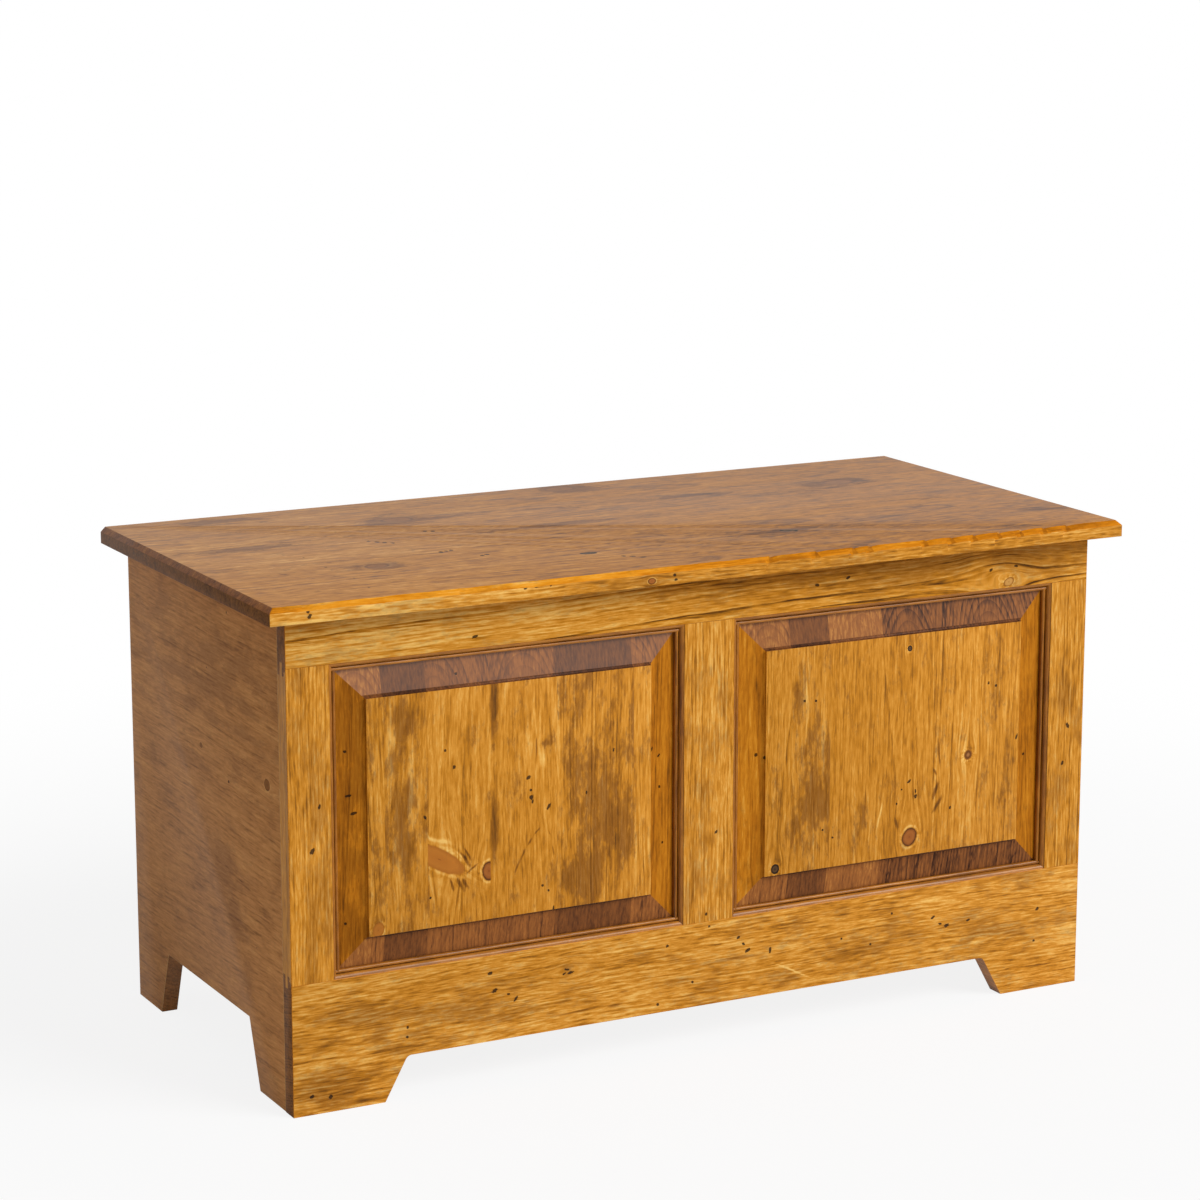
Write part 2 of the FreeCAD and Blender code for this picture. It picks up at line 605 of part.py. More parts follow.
def build():
    """Every piece of the chest by name."""
    pieces = {}

    # Screws through the cleats into the boards behind them
    side_places = along(FRAME_BACK, BACK_INSIDE, SIDE_CLEAT_SCREW_SHARES)
    side_seats = [Vector(CLEAT_SIZE - SIDE_INSIDE, y, CLEAT_MIDDLE) for y in side_places]
    side_screws, side_holes = screws_and_holes(LARGE_SCREW, CLEAT_SCREW_LENGTH, side_seats, LEFTWARD)
    long_places = along(CLEAT_SIZE - SIDE_INSIDE, SIDE_INSIDE - CLEAT_SIZE, LONG_CLEAT_SCREW_SHARES)
    front_seats = [Vector(x, FRAME_BACK + CLEAT_SIZE, CLEAT_MIDDLE) for x in long_places]
    front_screws, front_holes = screws_and_holes(LARGE_SCREW, CLEAT_SCREW_LENGTH, front_seats, FORWARD)
    rear_seats = [Vector(x, BACK_INSIDE - CLEAT_SIZE, CLEAT_MIDDLE) for x in long_places]
    rear_screws, rear_holes = screws_and_holes(LARGE_SCREW, CLEAT_SCREW_LENGTH, rear_seats, BACKWARD)
    mirrored_side_screws = [mirrored(item) for item in side_screws]
    pieces["cleat_screws"] = Part.makeCompound(side_screws + mirrored_side_screws + front_screws + rear_screws)

    # Screws through the back into the sides' rabbets
    back_x = -SIDE_INSIDE - BACK_LAP / 2
    back_seats = [Vector(back_x, BACK, z) for z in along(CLEAT_BOTTOM, BODY_HEIGHT, BACK_SCREW_SHARES)]
    back_screws, back_holes = screws_and_holes(LARGE_SCREW, BACK_SCREW_LENGTH, back_seats, FORWARD)
    pieces["back_screws"] = both_ends(back_screws)

    # Hinges
    lower_leaf = (BODY_HEIGHT - LEAF_GAP / 2 - LEAF_THICKNESS, BODY_HEIGHT - LEAF_GAP / 2)
    upper_leaf = (BODY_HEIGHT + LEAF_GAP / 2, BODY_HEIGHT + LEAF_GAP / 2 + LEAF_THICKNESS)
    leaf_places = along(-HINGE_X - HINGE_LENGTH / 2, -HINGE_X + HINGE_LENGTH / 2, LEAF_SCREW_SHARES)
    leaf_y = BACK - LEAF_REACH / 2
    lower_seats = [Vector(x, leaf_y, lower_leaf[1]) for x in leaf_places]
    upper_seats = [Vector(x, leaf_y, upper_leaf[0]) for x in leaf_places]
    lower_screws, lower_holes = screws_and_holes(SMALL_SCREW, HINGE_SCREW_LENGTH, lower_seats, DOWNWARD)
    upper_screws, upper_holes = screws_and_holes(SMALL_SCREW, HINGE_SCREW_LENGTH, upper_seats, UPWARD)
    back_mortise = leaf_mortise((lower_leaf[0], BODY_HEIGHT + OVERRUN))
    lid_mortise = leaf_mortise((BODY_HEIGHT - OVERRUN, upper_leaf[1]))
    pieces["left_hinge_back_leaf"] = hinge_leaf(lower_leaf, 0, lower_holes)
    pieces["left_hinge_lid_leaf"] = hinge_leaf(upper_leaf, 1, upper_holes)
    pieces["left_hinge_pin"] = hinge_pin()
    pieces["hinge_back_screws"] = both_ends(lower_screws)
    pieces["hinge_lid_screws"] = both_ends(upper_screws)

    # Lid stays
    plate_low = STUD_Z - STAY_PLATE_LENGTH / 2
    plate_places = along(plate_low, plate_low + STAY_PLATE_LENGTH, PLATE_SCREW_SHARES)
    plate_seats = [Vector(PLATE_FACE, STUD_Y, z) for z in plate_places]
    plate_screws, plate_holes = screws_and_holes(SMALL_SCREW, STAY_SCREW_LENGTH, plate_seats, LEFTWARD)
    flange_low = PIVOT_Y - STAY_FLANGE_LENGTH / 2
    flange_places = along(flange_low, flange_low + STAY_FLANGE_LENGTH, PLATE_SCREW_SHARES)
    flange_x = TAB_INSIDE + (STAY_FLANGE_WIDTH - STAY_PLATE_THICKNESS) / 2
    flange_seats = [Vector(flange_x, y, BODY_HEIGHT - STAY_PLATE_THICKNESS) for y in flange_places]
    flange_screws, flange_holes = screws_and_holes(SMALL_SCREW, STAY_SCREW_LENGTH, flange_seats, UPWARD)
    pieces["left_stay_arm"] = stay_arm()
    pieces["left_stay_side_plate"] = stay_side_plate(plate_holes)
    pieces["left_stay_stud"] = stay_stud()
    pieces["left_stay_lid_bracket"] = stay_lid_bracket(flange_holes)
    pieces["left_stay_rivet"] = stay_rivet()
    pieces["stay_side_screws"] = both_ends(plate_screws)
    pieces["stay_lid_screws"] = both_ends(flange_screws)

    # Lid
    batten_places = along(FRAME_BACK + BATTEN_FRONT_ROOM, BACK_INSIDE - BATTEN_BACK_ROOM, BATTEN_SCREW_SHARES)
    batten_seats = [Vector(-BATTEN_SPACING / 2, y, BODY_HEIGHT - BATTEN_THICKNESS) for y in batten_places]
    batten_screws, batten_holes = screws_and_holes(LARGE_SCREW, BATTEN_SCREW_LENGTH, batten_seats, UPWARD)
    lid_cuts = [lid_mortise, barrel_pocket()] + upper_holes + flange_holes + batten_holes
    pieces["lid_board"] = lid_board(lid_cuts + [mirrored(cut) for cut in lid_cuts])
    pieces["left_batten"] = left_batten(batten_holes)
    pieces["batten_screws"] = both_ends(batten_screws)

    # Front frame and panels
    pieces["front_top_rail"] = top_rail()
    pieces["front_bottom_rail"] = bottom_rail(front_holes)
    rails = [pieces["front_top_rail"], pieces["front_bottom_rail"]]
    pieces["front_left_stile"] = left_stile(rails)
    pieces["front_centre_stile"] = centre_stile(rails)
    pieces["front_left_panel"] = left_panel()

    # Carcass
    pieces["left_side"] = left_side(side_holes + back_holes + plate_holes)
    back_cuts = [back_mortise] + lower_holes + back_holes
    pieces["back_panel"] = back_panel(back_cuts + [mirrored(cut) for cut in back_cuts] + rear_holes)
    pieces["bottom_panel"] = bottom_panel()
    pieces["left_cleat"] = left_cleat(side_holes)
    pieces["front_cleat"] = long_cleat((FRAME_BACK, FRAME_BACK + CLEAT_SIZE), front_holes)
    pieces["back_cleat"] = long_cleat((BACK_INSIDE - CLEAT_SIZE, BACK_INSIDE), rear_holes)

    # The right end repeats the left one
    for name in [name for name in pieces if "left_" in name]:
        pieces[name.replace("left_", "right_")] = mirrored(pieces[name])
    return pieces


os.makedirs("parts", exist_ok=True)
for name, shape in sorted(build().items()):
    if not shape.isValid() or shape.Volume <= 0:
        raise ValueError(name + " is not a sound solid")
    print(name, len(shape.Solids), round(shape.Volume), len(shape.Faces))
    shape.exportStep("parts/" + name + ".step")
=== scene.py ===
import json
import math
from collections import namedtuple

import bmesh
import bpy
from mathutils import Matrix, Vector, noise

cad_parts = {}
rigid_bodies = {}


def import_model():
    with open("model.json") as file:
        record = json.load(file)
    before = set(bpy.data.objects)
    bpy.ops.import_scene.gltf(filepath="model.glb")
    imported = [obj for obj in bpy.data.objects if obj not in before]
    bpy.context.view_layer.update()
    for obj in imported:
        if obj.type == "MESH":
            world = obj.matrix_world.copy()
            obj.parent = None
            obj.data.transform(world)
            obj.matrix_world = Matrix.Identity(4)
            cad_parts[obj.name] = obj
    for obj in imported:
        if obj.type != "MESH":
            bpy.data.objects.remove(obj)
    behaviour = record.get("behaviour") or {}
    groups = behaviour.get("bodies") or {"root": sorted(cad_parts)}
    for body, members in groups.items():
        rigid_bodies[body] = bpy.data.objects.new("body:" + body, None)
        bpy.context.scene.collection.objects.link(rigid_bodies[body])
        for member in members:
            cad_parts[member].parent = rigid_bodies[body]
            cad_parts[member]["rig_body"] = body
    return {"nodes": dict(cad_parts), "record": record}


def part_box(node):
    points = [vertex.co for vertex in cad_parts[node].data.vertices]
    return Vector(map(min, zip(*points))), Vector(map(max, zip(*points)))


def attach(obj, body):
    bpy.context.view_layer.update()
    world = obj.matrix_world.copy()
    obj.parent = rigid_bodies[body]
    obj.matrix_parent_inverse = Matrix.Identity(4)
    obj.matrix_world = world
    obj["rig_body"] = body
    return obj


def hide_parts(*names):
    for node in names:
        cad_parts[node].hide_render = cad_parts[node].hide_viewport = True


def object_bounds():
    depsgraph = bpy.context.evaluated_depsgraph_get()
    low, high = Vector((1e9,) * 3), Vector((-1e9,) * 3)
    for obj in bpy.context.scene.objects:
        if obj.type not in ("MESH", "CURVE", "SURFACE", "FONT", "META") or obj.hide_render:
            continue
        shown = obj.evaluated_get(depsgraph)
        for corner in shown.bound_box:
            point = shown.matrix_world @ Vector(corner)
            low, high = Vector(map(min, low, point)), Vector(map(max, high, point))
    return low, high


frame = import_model()
cad_low, cad_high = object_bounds()

# A stained and distressed pine blanket chest. Lengths are in metres in the part's own frame: X runs to the
# viewer's right, Y to the back and Z up. Colours are linear. The CAD boards are copied, their arrises are
# eased and worn, and each face gets the finish of its place. The hardware keeps its CAD shape.

# Camera, as fitted to the photograph
PHOTO_SIZE = 1200
FOCAL_PIXELS = 3491.0
SENSOR_WIDTH = 36.0
CAMERA_PLACE = (-1.8513, -3.5089, 1.3138)
CAMERA_YAW = math.radians(27.583)
CAMERA_PITCH = math.radians(11.956)

# Light
KEY_AZIMUTH = math.radians(38.0)
KEY_ELEVATION = math.radians(36.0)
KEY_DISTANCE = 16.0
KEY_SIZE = (9.2, 7.2)
KEY_POWER = 2200.0
SKY_LEVEL = 0.36
BACKDROP_COLOUR = (1.0, 1.0, 1.0, 1.0)
BACKDROP_WHITE = 1.0
FLOOR_SIZE = 60.0
FLOOR_COLOUR = (0.82, 0.82, 0.82, 1.0)
FLOOR_GLOW = 0.86
SHADOW_REACH = (0.7, 1.9)

# Mesh work
WELD = 0.00001
FLAT_ANGLE = math.radians(0.5)
SMOOTH_ANGLE = math.radians(38.0)
SHARP_ANGLE = math.radians(25.0)
NEAR = 0.00006
EASE_SEGMENTS = 2
EASE_PROFILE = 0.5
FRAME_EASE = 0.0005
BOARD_EASE = 0.0009
LID_EASE = 0.0011
FIELD_EASE = 0.0006
PLAIN_EASE = 0.0008

# How squarely a face looks along an axis: the least part of its normal along it
FLAT_ON = 0.99
FACING_UP = 0.95
FACING = 0.9
MOSTLY = 0.5
STEEP = 0.3

# The lid's front chamfer: places of the rasp cuts, and how deep the wear goes
RASP_PLACES = (0.063, 0.122, 0.171, 0.192, 0.265, 0.301, 0.331, 0.365, 0.395, 0.427, 0.459)
RASP_DEPTH = 0.0019
RASP_RUN = 0.022
RASP_SLANT = 1.3
WEAR_DEPTH = 0.0009
WEAR_SCALE = 38.0
CHAMFER_CUTS = 420
CHAMFER_STRIP = 0.0066

# Planes and edges of the chest, read from the frame
LID_LOW, LID_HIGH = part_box("lid_board")
RAIL_LOW, RAIL_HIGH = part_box("front_bottom_rail")
FRONT = RAIL_LOW.y
BODY_END = RAIL_HIGH.x
MOULDING_WIDTH = 0.009
OPENING_LOW = RAIL_HIGH.z - MOULDING_WIDTH
QUIRK_DEPTH = 0.0065
QUIRK = FRONT + QUIRK_DEPTH

# Wood colours, from pooled stain up to bare pale wood. The sides' colours also carry a painted sheen.
GOLDEN = (
    (0.0, (0.07, 0.024, 0.003)),
    (0.28, (0.235, 0.088, 0.006)),
    (0.52, (0.495, 0.189, 0.01)),
    (0.72, (0.655, 0.283, 0.034)),
    (1.0, (0.85, 0.515, 0.135)),
)
AMBER = (
    (0.0, (0.06, 0.018, 0.003)),
    (0.3, (0.19, 0.062, 0.004)),
    (0.55, (0.4, 0.132, 0.006)),
    (0.8, (0.55, 0.205, 0.012)),
    (1.0, (0.7, 0.34, 0.05)),
)
LID_BROWN = (
    (0.0, (0.09, 0.042, 0.022)),
    (0.28, (0.225, 0.096, 0.032)),
    (0.55, (0.405, 0.164, 0.032)),
    (0.78, (0.525, 0.232, 0.05)),
    (1.0, (0.68, 0.36, 0.115)),
)
# The sides' colours carry a painted sheen: their blue is raised to stand in for the reflection that their
# low gloss leaves out.
SIDE_BROWN_AND_SHEEN = (
    (0.0, (0.11, 0.045, 0.016)),
    (0.28, (0.24, 0.098, 0.026)),
    (0.55, (0.465, 0.197, 0.059)),
    (0.78, (0.59, 0.268, 0.086)),
    (1.0, (0.7, 0.37, 0.12)),
)
RUSSET = (
    (0.0, (0.035, 0.012, 0.005)),
    (0.3, (0.105, 0.036, 0.012)),
    (0.55, (0.21, 0.072, 0.019)),
    (0.8, (0.33, 0.118, 0.028)),
    (1.0, (0.52, 0.22, 0.05)),
)
WALNUT = (
    (0.0, (0.05, 0.015, 0.003)),
    (0.3, (0.2, 0.066, 0.008)),
    (0.55, (0.39, 0.142, 0.014)),
    (0.8, (0.54, 0.215, 0.024)),
    (1.0, (0.7, 0.33, 0.06)),
)
END_BROWN = (
    (0.0, (0.03, 0.011, 0.003)),
    (0.3, (0.12, 0.045, 0.01)),
    (0.55, (0.22, 0.083, 0.018)),
    (0.8, (0.32, 0.125, 0.028)),
    (1.0, (0.43, 0.19, 0.055)),
)
ORANGE = (
    (0.0, (0.11, 0.03, 0.004)),
    (0.28, (0.33, 0.1, 0.004)),
    (0.55, (0.6, 0.196, 0.005)),
    (0.78, (0.76, 0.3, 0.018)),
    (1.0, (0.86, 0.47, 0.1)),
)
PLAIN = (
    (0.0, (0.19, 0.08, 0.02)),
    (0.28, (0.38, 0.18, 0.055)),
    (0.55, (0.56, 0.3, 0.105)),
    (0.78, (0.66, 0.39, 0.15)),
    (1.0, (0.78, 0.52, 0.25)),
)
HOLE_COLOUR = (0.01, 0.005, 0.003, 1.0)
STAIN = (0.43, 0.385, 0.42, 1.0)


class Wire:
    """A node's output that can stand in a formula."""

    def __init__(self, graph, socket):
        self.graph = graph
        self.socket = socket

    def __add__(self, other):
        return self.graph.math("ADD", self, other)

    def __sub__(self, other):
        return self.graph.math("SUBTRACT", self, other)

    def __rsub__(self, other):
        return self.graph.math("SUBTRACT", other, self)

    def __mul__(self, other):
        return self.graph.math("MULTIPLY", self, other)

    def __truediv__(self, other):
        return self.graph.math("DIVIDE", self, other)


# A spot's third coordinate carries the last value worked out. An oval divides it away, but it makes the
# renderer work the ovals out one after another, because its stack can't hold all of them at once.
FLATTEN = 1.0e6

# Sockets of a Mix node that mixes colours
MIX_FIRST = 6
MIX_SECOND = 7
MIX_RESULT = 2


class Graph:
    """The nodes of a material or world, added by short calls. An input is a number, a colour or a wire."""

    def __init__(self, owner):
        owner.use_nodes = True
        self.owner = owner
        self.tree = owner.node_tree
        self.tree.nodes.clear()

    def node(self, kind, inputs, **settings):
        made = self.tree.nodes.new(kind)
        for key, value in settings.items():
            setattr(made, key, value)
        for key, value in inputs.items():
            if isinstance(value, Wire):
                self.tree.links.new(value.socket, made.inputs[key])
            elif value is not None:
                made.inputs[key].default_value = value
        return made

    def wire(self, made, output=0):
        return Wire(self, made.outputs[output])

    def math(self, operation, first, second=None):
        return self.wire(self.node("ShaderNodeMath", {0: first, 1: second}, operation=operation))

    def place(self):
        """The three coordinates of a point, in the part's frame at rest."""
        point = self.node("ShaderNodeTexCoord", {}).outputs["Object"]
        parts = self.node("ShaderNodeSeparateXYZ", {0: Wire(self, point)})
        return [self.wire(parts, index) for index in range(3)]

    def vector(self, x, y, z=0.0):
        return self.wire(self.node("ShaderNodeCombineXYZ", {0: x, 1: y, 2: z}))

    def oval(self, spot, middle, halves, turn=0.0):
        """A spot seen from the middle of a turned oval, in parts of its half length and half width."""
        values = {"Vector": spot, "Location": (*middle, 0.0), "Rotation": (0.0, 0.0, turn)}
        values["Scale"] = (*halves, FLATTEN)
        return self.wire(self.node("ShaderNodeMapping", values, vector_type="TEXTURE"))

    def length(self, vector):
        return self.wire(self.node("ShaderNodeVectorMath", {0: vector}, operation="LENGTH"), "Value")

    def noise(self, x, y, z, detail=2.0, roughness=0.5):
        values = {"Vector": self.vector(x, y, z), "Scale": 1.0, "Detail": detail, "Roughness": roughness}
        return self.wire(self.node("ShaderNodeTexNoise", values))

    def cells(self, x, y):
        """Scattered points: the distance to the nearest one, and three random values of it."""
        values = {"Vector": self.vector(x, y), "Scale": 1.0}
        made = self.node("ShaderNodeTexVoronoi", values, voronoi_dimensions="2D")
        return self.wire(made, "Distance"), self.split(self.wire(made, "Color"))

    def chance(self, value):
        return self.wire(self.node("ShaderNodeTexWhiteNoise", {"W": value}, noise_dimensions="1D"))

    def smooth(self, value, low, high, start=0.0, end=1.0):
        values = {"Value": value, "From Min": low, "From Max": high, "To Min": start, "To Max": end}
        return self.wire(self.node("ShaderNodeMapRange", values, interpolation_type="SMOOTHSTEP"))

    def ramp(self, value, stops, interpolation="LINEAR"):
        made = self.node("ShaderNodeValToRGB", {0: value})
        made.color_ramp.interpolation = interpolation
        elements = made.color_ramp.elements
        for index, (position, colour) in enumerate(stops):
            element = elements[index] if index < 2 else elements.new(position)
            element.position = position
            element.color = (*colour, 1.0)[:4]
        return self.wire(made)

    def steps(self, value, stops):
        """Four values that change at once from one place to the next."""
        colour = self.ramp(value, stops, "CONSTANT")
        alpha = Wire(self, colour.socket.node.outputs["Alpha"])
        return [*self.split(colour), alpha]

    def mix(self, share, first, second, blend="MIX"):
        values = {0: share, MIX_FIRST: first, MIX_SECOND: second}
        made = self.node("ShaderNodeMix", values, data_type="RGBA", blend_type=blend)
        return self.wire(made, MIX_RESULT)

    def split(self, colour):
        parts = self.node("ShaderNodeSeparateColor", {0: colour})
        return [self.wire(parts, index) for index in range(3)]

    def surface(self, colour, roughness, height, bump, gloss, metallic=0.0):
        lifted = self.node("ShaderNodeBump", {"Height": height, "Strength": 1.0, "Distance": bump})
        values = {"Base Color": colour, "Roughness": roughness, "Metallic": metallic}
        values["Specular IOR Level"] = gloss
        values["Normal"] = self.wire(lifted)
        shader = self.node("ShaderNodeBsdfPrincipled", values)
        self.node("ShaderNodeOutputMaterial", {0: self.wire(shader)})
        return self.owner


# Pine's patterns: the scale along the grain and across it, the detail and the roughness of each
Pattern = namedtuple("Pattern", "along across detail roughness", defaults=(2.0, 0.5))
WANDER = Pattern(1.7, 8.0)
RIPPLE = Pattern(16.0, 70.0)
ROUGH = Pattern(170.0, 170.0)
DRIFT = Pattern(1.4, 5.0)
HAIR = Pattern(2.6, 110.0, 3.0, 0.6)
STREAK = Pattern(8.0, 75.0, 4.0, 0.66)
FIBRE = Pattern(15.0, 300.0, 2.0, 0.6)
FLECK = Pattern(110.0, 260.0, 3.0, 0.65)
MOTTLE = Pattern(11.0, 42.0, 3.0, 0.6)
GRIT = Pattern(48.0, 440.0, 1.0, 0.5)
CLOUD = Pattern(19.0, 46.0, 5.0, 0.68)
SPECK = Pattern(420.0, 420.0)

# A knot's feathers: the scale round it and away from it, and how far apart two knots' patterns lie
FEATHER = Pattern(3.0, 0.8, 3.0, 0.65)
FEATHER_SHIFT = 90.0
FEATHER_REACH = (0.9, 2.8)

# The grain's course. A pattern runs from 0 to 1, and MIDDLE is taken off where it goes both ways.
MIDDLE = 0.5
STAVE_SHIFT = 61.0
WANDER_REACH = 0.016
RIPPLE_REACH = 0.0026
KNOT_PUSH = 0.82
KNOT_REACH = (4.0, 2.1)

# How far the lines, fibres and ticks darken or lift the tone
RING_LEAST = 0.2
RING_SPREAD = 0.8
HAIR_WIDTH = 0.07
HAIR_DEPTH = 0.9
DRIFT_DEPTH = 0.2
FIBRE_DEPTH = 0.9
FLECK_DEPTH = 0.6
GRIT_DEPTH = 1.2
TICK_PATCHES = 0.25
TICK_RANGE = (0.64, 0.73)
TICK_DEPTH = 0.2

# Pooled stain: what its edge is made of, and what smudges, strokes and pale smudges do. One broad pale
# smudge on the lid is a painted sheen.
CLOUD_SHARE = 0.62
STREAK_SHARE = 0.12
FLECK_SHARE = 0.26
CLOUD_RANGE = (0.485, 0.625)
PATCH_PULL = 0.11
SMUDGE_PULL = 0.13
STROKE_DEPTH = 0.09
GLEAM_LIFT = 0.35

# Knots, in parts of their radius, and how their inside is marked
KNOT_RIM = (0.97, 1.16)
FAR_OFF = 9.0
KNOT_RAGGED = 0.18
KNOT_STREAKS = 0.25
KNOT_FLECKS = 0.3
COLLAR_PLACE = 1.26
COLLAR_WIDTH = 0.14
COLLAR_LEVEL = 0.55

# Worm holes and dents, with rims in parts of their radius
HOLES_PER_METRE = 15.0
HOLE_SHARE = 0.3
HOLE_RADIUS = 0.0018
HOLE_LEAST = 0.001
HOLE_RIM = (0.6, 1.05)
MARK_RIM = (0.9, 1.4)
MARK_RAGGED = 1.5
DENT_COVER = 0.88

# The wood's relief and sheen
RELIEF = 0.0005
FIBRE_RELIEF = 0.4
TONE_RELIEF = 0.3
KNOT_RELIEF = 0.3
DENT_RELIEF = 1.5
DRIFT_SHEEN = 0.12
FIBRE_SHEEN = 0.08
SHEEN_MIDDLE = 0.1

# A growth ring's darkness, from its early wood to its late wood
RING_PROFILE = (
    (0.0, (0.0, 0.0, 0.0)),
    (0.45, (0.08, 0.08, 0.08)),
    (0.78, (0.7, 0.7, 0.7)),
    (0.9, (1.0, 1.0, 1.0)),
    (0.97, (0.2, 0.2, 0.2)),
    (1.0, (0.0, 0.0, 0.0)),
)

# Kinds of knot: how much the grain round it is feathered, how pale its collar is, and its colours from the
# middle out. A kind without colours only bends the grain.
ROUND_KNOT = 0.7, 0.45, (
    (0.0, (0.2, 0.055, 0.009)),
    (0.14, (0.36, 0.11, 0.02)),
    (0.6, (0.4, 0.13, 0.024)),
    (0.84, (0.29, 0.088, 0.014)),
    (0.96, (0.085, 0.026, 0.006)),
    (1.0, (0.12, 0.04, 0.008)),
)
FLAME_KNOT = 1.0, 0.25, (
    (0.0, (0.24, 0.07, 0.009)),
    (0.1, (0.5, 0.168, 0.02)),
    (0.7, (0.53, 0.185, 0.022)),
    (1.0, (0.45, 0.15, 0.016)),
)
SWIRL_KNOT = 1.6, 0.1, (
    (0.0, (0.42, 0.19, 0.07)),
    (0.3, (0.36, 0.14, 0.035)),
    (0.6, (0.13, 0.042, 0.007)),
    (0.8, (0.2, 0.066, 0.01)),
    (1.0, (0.38, 0.135, 0.014)),
)
PALE_KNOT = 1.4, 0.18, (
    (0.0, (0.45, 0.2, 0.04)),
    (0.3, (0.62, 0.32, 0.085)),
    (0.75, (0.58, 0.28, 0.065)),
    (1.0, (0.26, 0.09, 0.01)),
)
SOFT_KNOT = 0.5, 0.18, (
    (0.0, (0.16, 0.062, 0.02)),
    (0.2, (0.27, 0.105, 0.026)),
    (0.75, (0.31, 0.12, 0.028)),
    (1.0, (0.17, 0.066, 0.02)),
)
DEAD_KNOT = 0.9, 0.18, (
    (0.0, (0.055, 0.03, 0.014)),
    (0.55, (0.12, 0.06, 0.022)),
    (0.8, (0.02, 0.01, 0.005)),
    (1.0, (0.016, 0.008, 0.004)),
)
GRAIN_BEND = 0.0, 0.0, ()


def stave_ends(staves, across):
    """The two edges of the stave at a place across a glued-up board."""
    ends = [stave[0] for stave in staves]
    return max(end for end in ends if end <= across), min(end for end in ends if end > across)


class Board(Graph):
    """A board of stained pine, drawn step by step."""

    def __init__(self, name, axes, seed, staves, fineness):
        super().__init__(bpy.data.materials.new(name))
        place = self.place()
        self.along, self.across, self.depth = (place["XYZ".index(axis)] for axis in axes)
        self.seed = seed
        self.staves = staves
        self.fineness = fineness
        self.shift = seed
        self.patchy = MIDDLE
        if staves:
            self.split_staves()

    def split_staves(self):
        """Gives each stave its own pith, tone, blotches, lines and place in the patterns."""
        low = self.staves[0][0]
        span = self.staves[-1][0] - low
        stops = []
        for here, after in zip(self.staves, self.staves[1:]):
            stops.append(((here[0] - low) / span, after[1:]))
        heart, self.lift, self.patchy, self.lined = self.steps((self.across - low) / span, stops)
        self.shift = heart * STAVE_SHIFT + self.seed
        self.heart = heart * span + low

    def bell(self, value):
        """One at zero, falling off smoothly on both sides."""
        return self.math("EXPONENT", value * value * -1.0)

    def pattern(self, kind, sideways, fineness=1.0):
        along = self.along * kind.along
        across = sideways * (kind.across * fineness)
        depth = self.depth * kind.across + self.shift
        return self.noise(along, across, depth, kind.detail, kind.roughness)

    def bend_grain(self, knots):
        """Lets the grain wander, and bends it round the knots."""
        wander = (self.pattern(WANDER, self.across) - MIDDLE) * WANDER_REACH
        ripple = (self.pattern(RIPPLE, self.across) - MIDDLE) * RIPPLE_REACH
        self.bent = self.across + wander + ripple
        self.rough = self.pattern(ROUGH, self.across) - MIDDLE
        self.knots = []
        for knot in knots:
            self.bend_round(*knot)

    def bend_round(self, along, across, radius, stretch, turn, kind):
        spot = self.vector(self.along, self.across, self.bent)
        seen = self.oval(spot, (along, across), (radius * stretch, radius), turn)
        away = self.length(seen) + self.rough * KNOT_RAGGED
        reach = self.oval(spot, (along, across), (radius * KNOT_REACH[0], radius * KNOT_REACH[1]))
        pull = self.bell(self.length(reach))
        if self.staves:
            left, right = stave_ends(self.staves, across)
            past_left = self.math("GREATER_THAN", self.across, left)
            own_stave = past_left * self.math("LESS_THAN", self.across, right)
            pull = pull * own_stave
            away = away + (1.0 - own_stave) * FAR_OFF
        self.bent = self.bent - (self.across - across) * pull * KNOT_PUSH
        feather, halo, colours = kind
        if not colours:
            return
        parts = self.node("ShaderNodeSeparateXYZ", {0: seen})
        round_knot = self.math("ARCTAN2", self.wire(parts, 1), self.wire(parts, 0)) * FEATHER.along
        outwards = away * FEATHER.across
        strokes = self.noise(round_knot, outwards, along * FEATHER_SHIFT, FEATHER.detail, FEATHER.roughness)
        fan = (strokes - MIDDLE) * self.smooth(away, *FEATHER_REACH, feather, 0.0)
        collar = self.bell((away - COLLAR_PLACE) / COLLAR_WIDTH) * (self.rough + COLLAR_LEVEL) * halo
        self.knots.append((away, fan + collar, colours))

    def draw_rings(self, pith, spacing, level, lines):
        """Draws the growth rings round the pith, and hairlines between them."""
        heart, deep, lean = pith
        tone = level
        if self.staves:
            heart = self.heart
            tone = self.lift - MIDDLE + level
            lines = self.lined * (lines / MIDDLE)
        sideways = self.bent - heart
        inwards = self.depth - deep + self.along * lean
        rings = self.math("SQRT", sideways * sideways + inwards * inwards) / spacing
        strength = self.chance(self.math("FLOOR", rings) + self.seed)
        late = self.ramp(self.math("FRACT", rings), RING_PROFILE) * (strength * RING_SPREAD + RING_LEAST)
        hair = self.math("ABSOLUTE", self.pattern(HAIR, self.bent, self.fineness) - MIDDLE)
        hair = self.smooth(hair, 0.0, HAIR_WIDTH, 1.0, 0.0) * strength
        self.tone = tone - late * lines - hair * lines * HAIR_DEPTH

    def draw_fibres(self, streaks, fibres, mottles):
        """Draws the streaks, fibres, flecks, mottles and dark ticks."""
        self.drift = self.pattern(DRIFT, self.across)
        self.streak = self.pattern(STREAK, self.bent, self.fineness)
        self.fibre = self.pattern(FIBRE, self.bent, self.fineness)
        self.fleck = self.pattern(FLECK, self.bent, self.fineness)
        mottle = self.pattern(MOTTLE, self.bent) - MIDDLE
        grit = self.pattern(GRIT, self.bent, self.fineness)
        ticks = self.smooth(grit + mottle * TICK_PATCHES, *TICK_RANGE)
        tone = self.tone + (self.streak - MIDDLE) * streaks + (self.drift - MIDDLE) * DRIFT_DEPTH
        tone = tone + mottle * mottles - ticks * TICK_DEPTH
        fine = (self.fibre - MIDDLE) * FIBRE_DEPTH + (self.fleck - MIDDLE) * FLECK_DEPTH
        fine = fine + (grit - MIDDLE) * GRIT_DEPTH
        self.tone = tone + fine * fibres

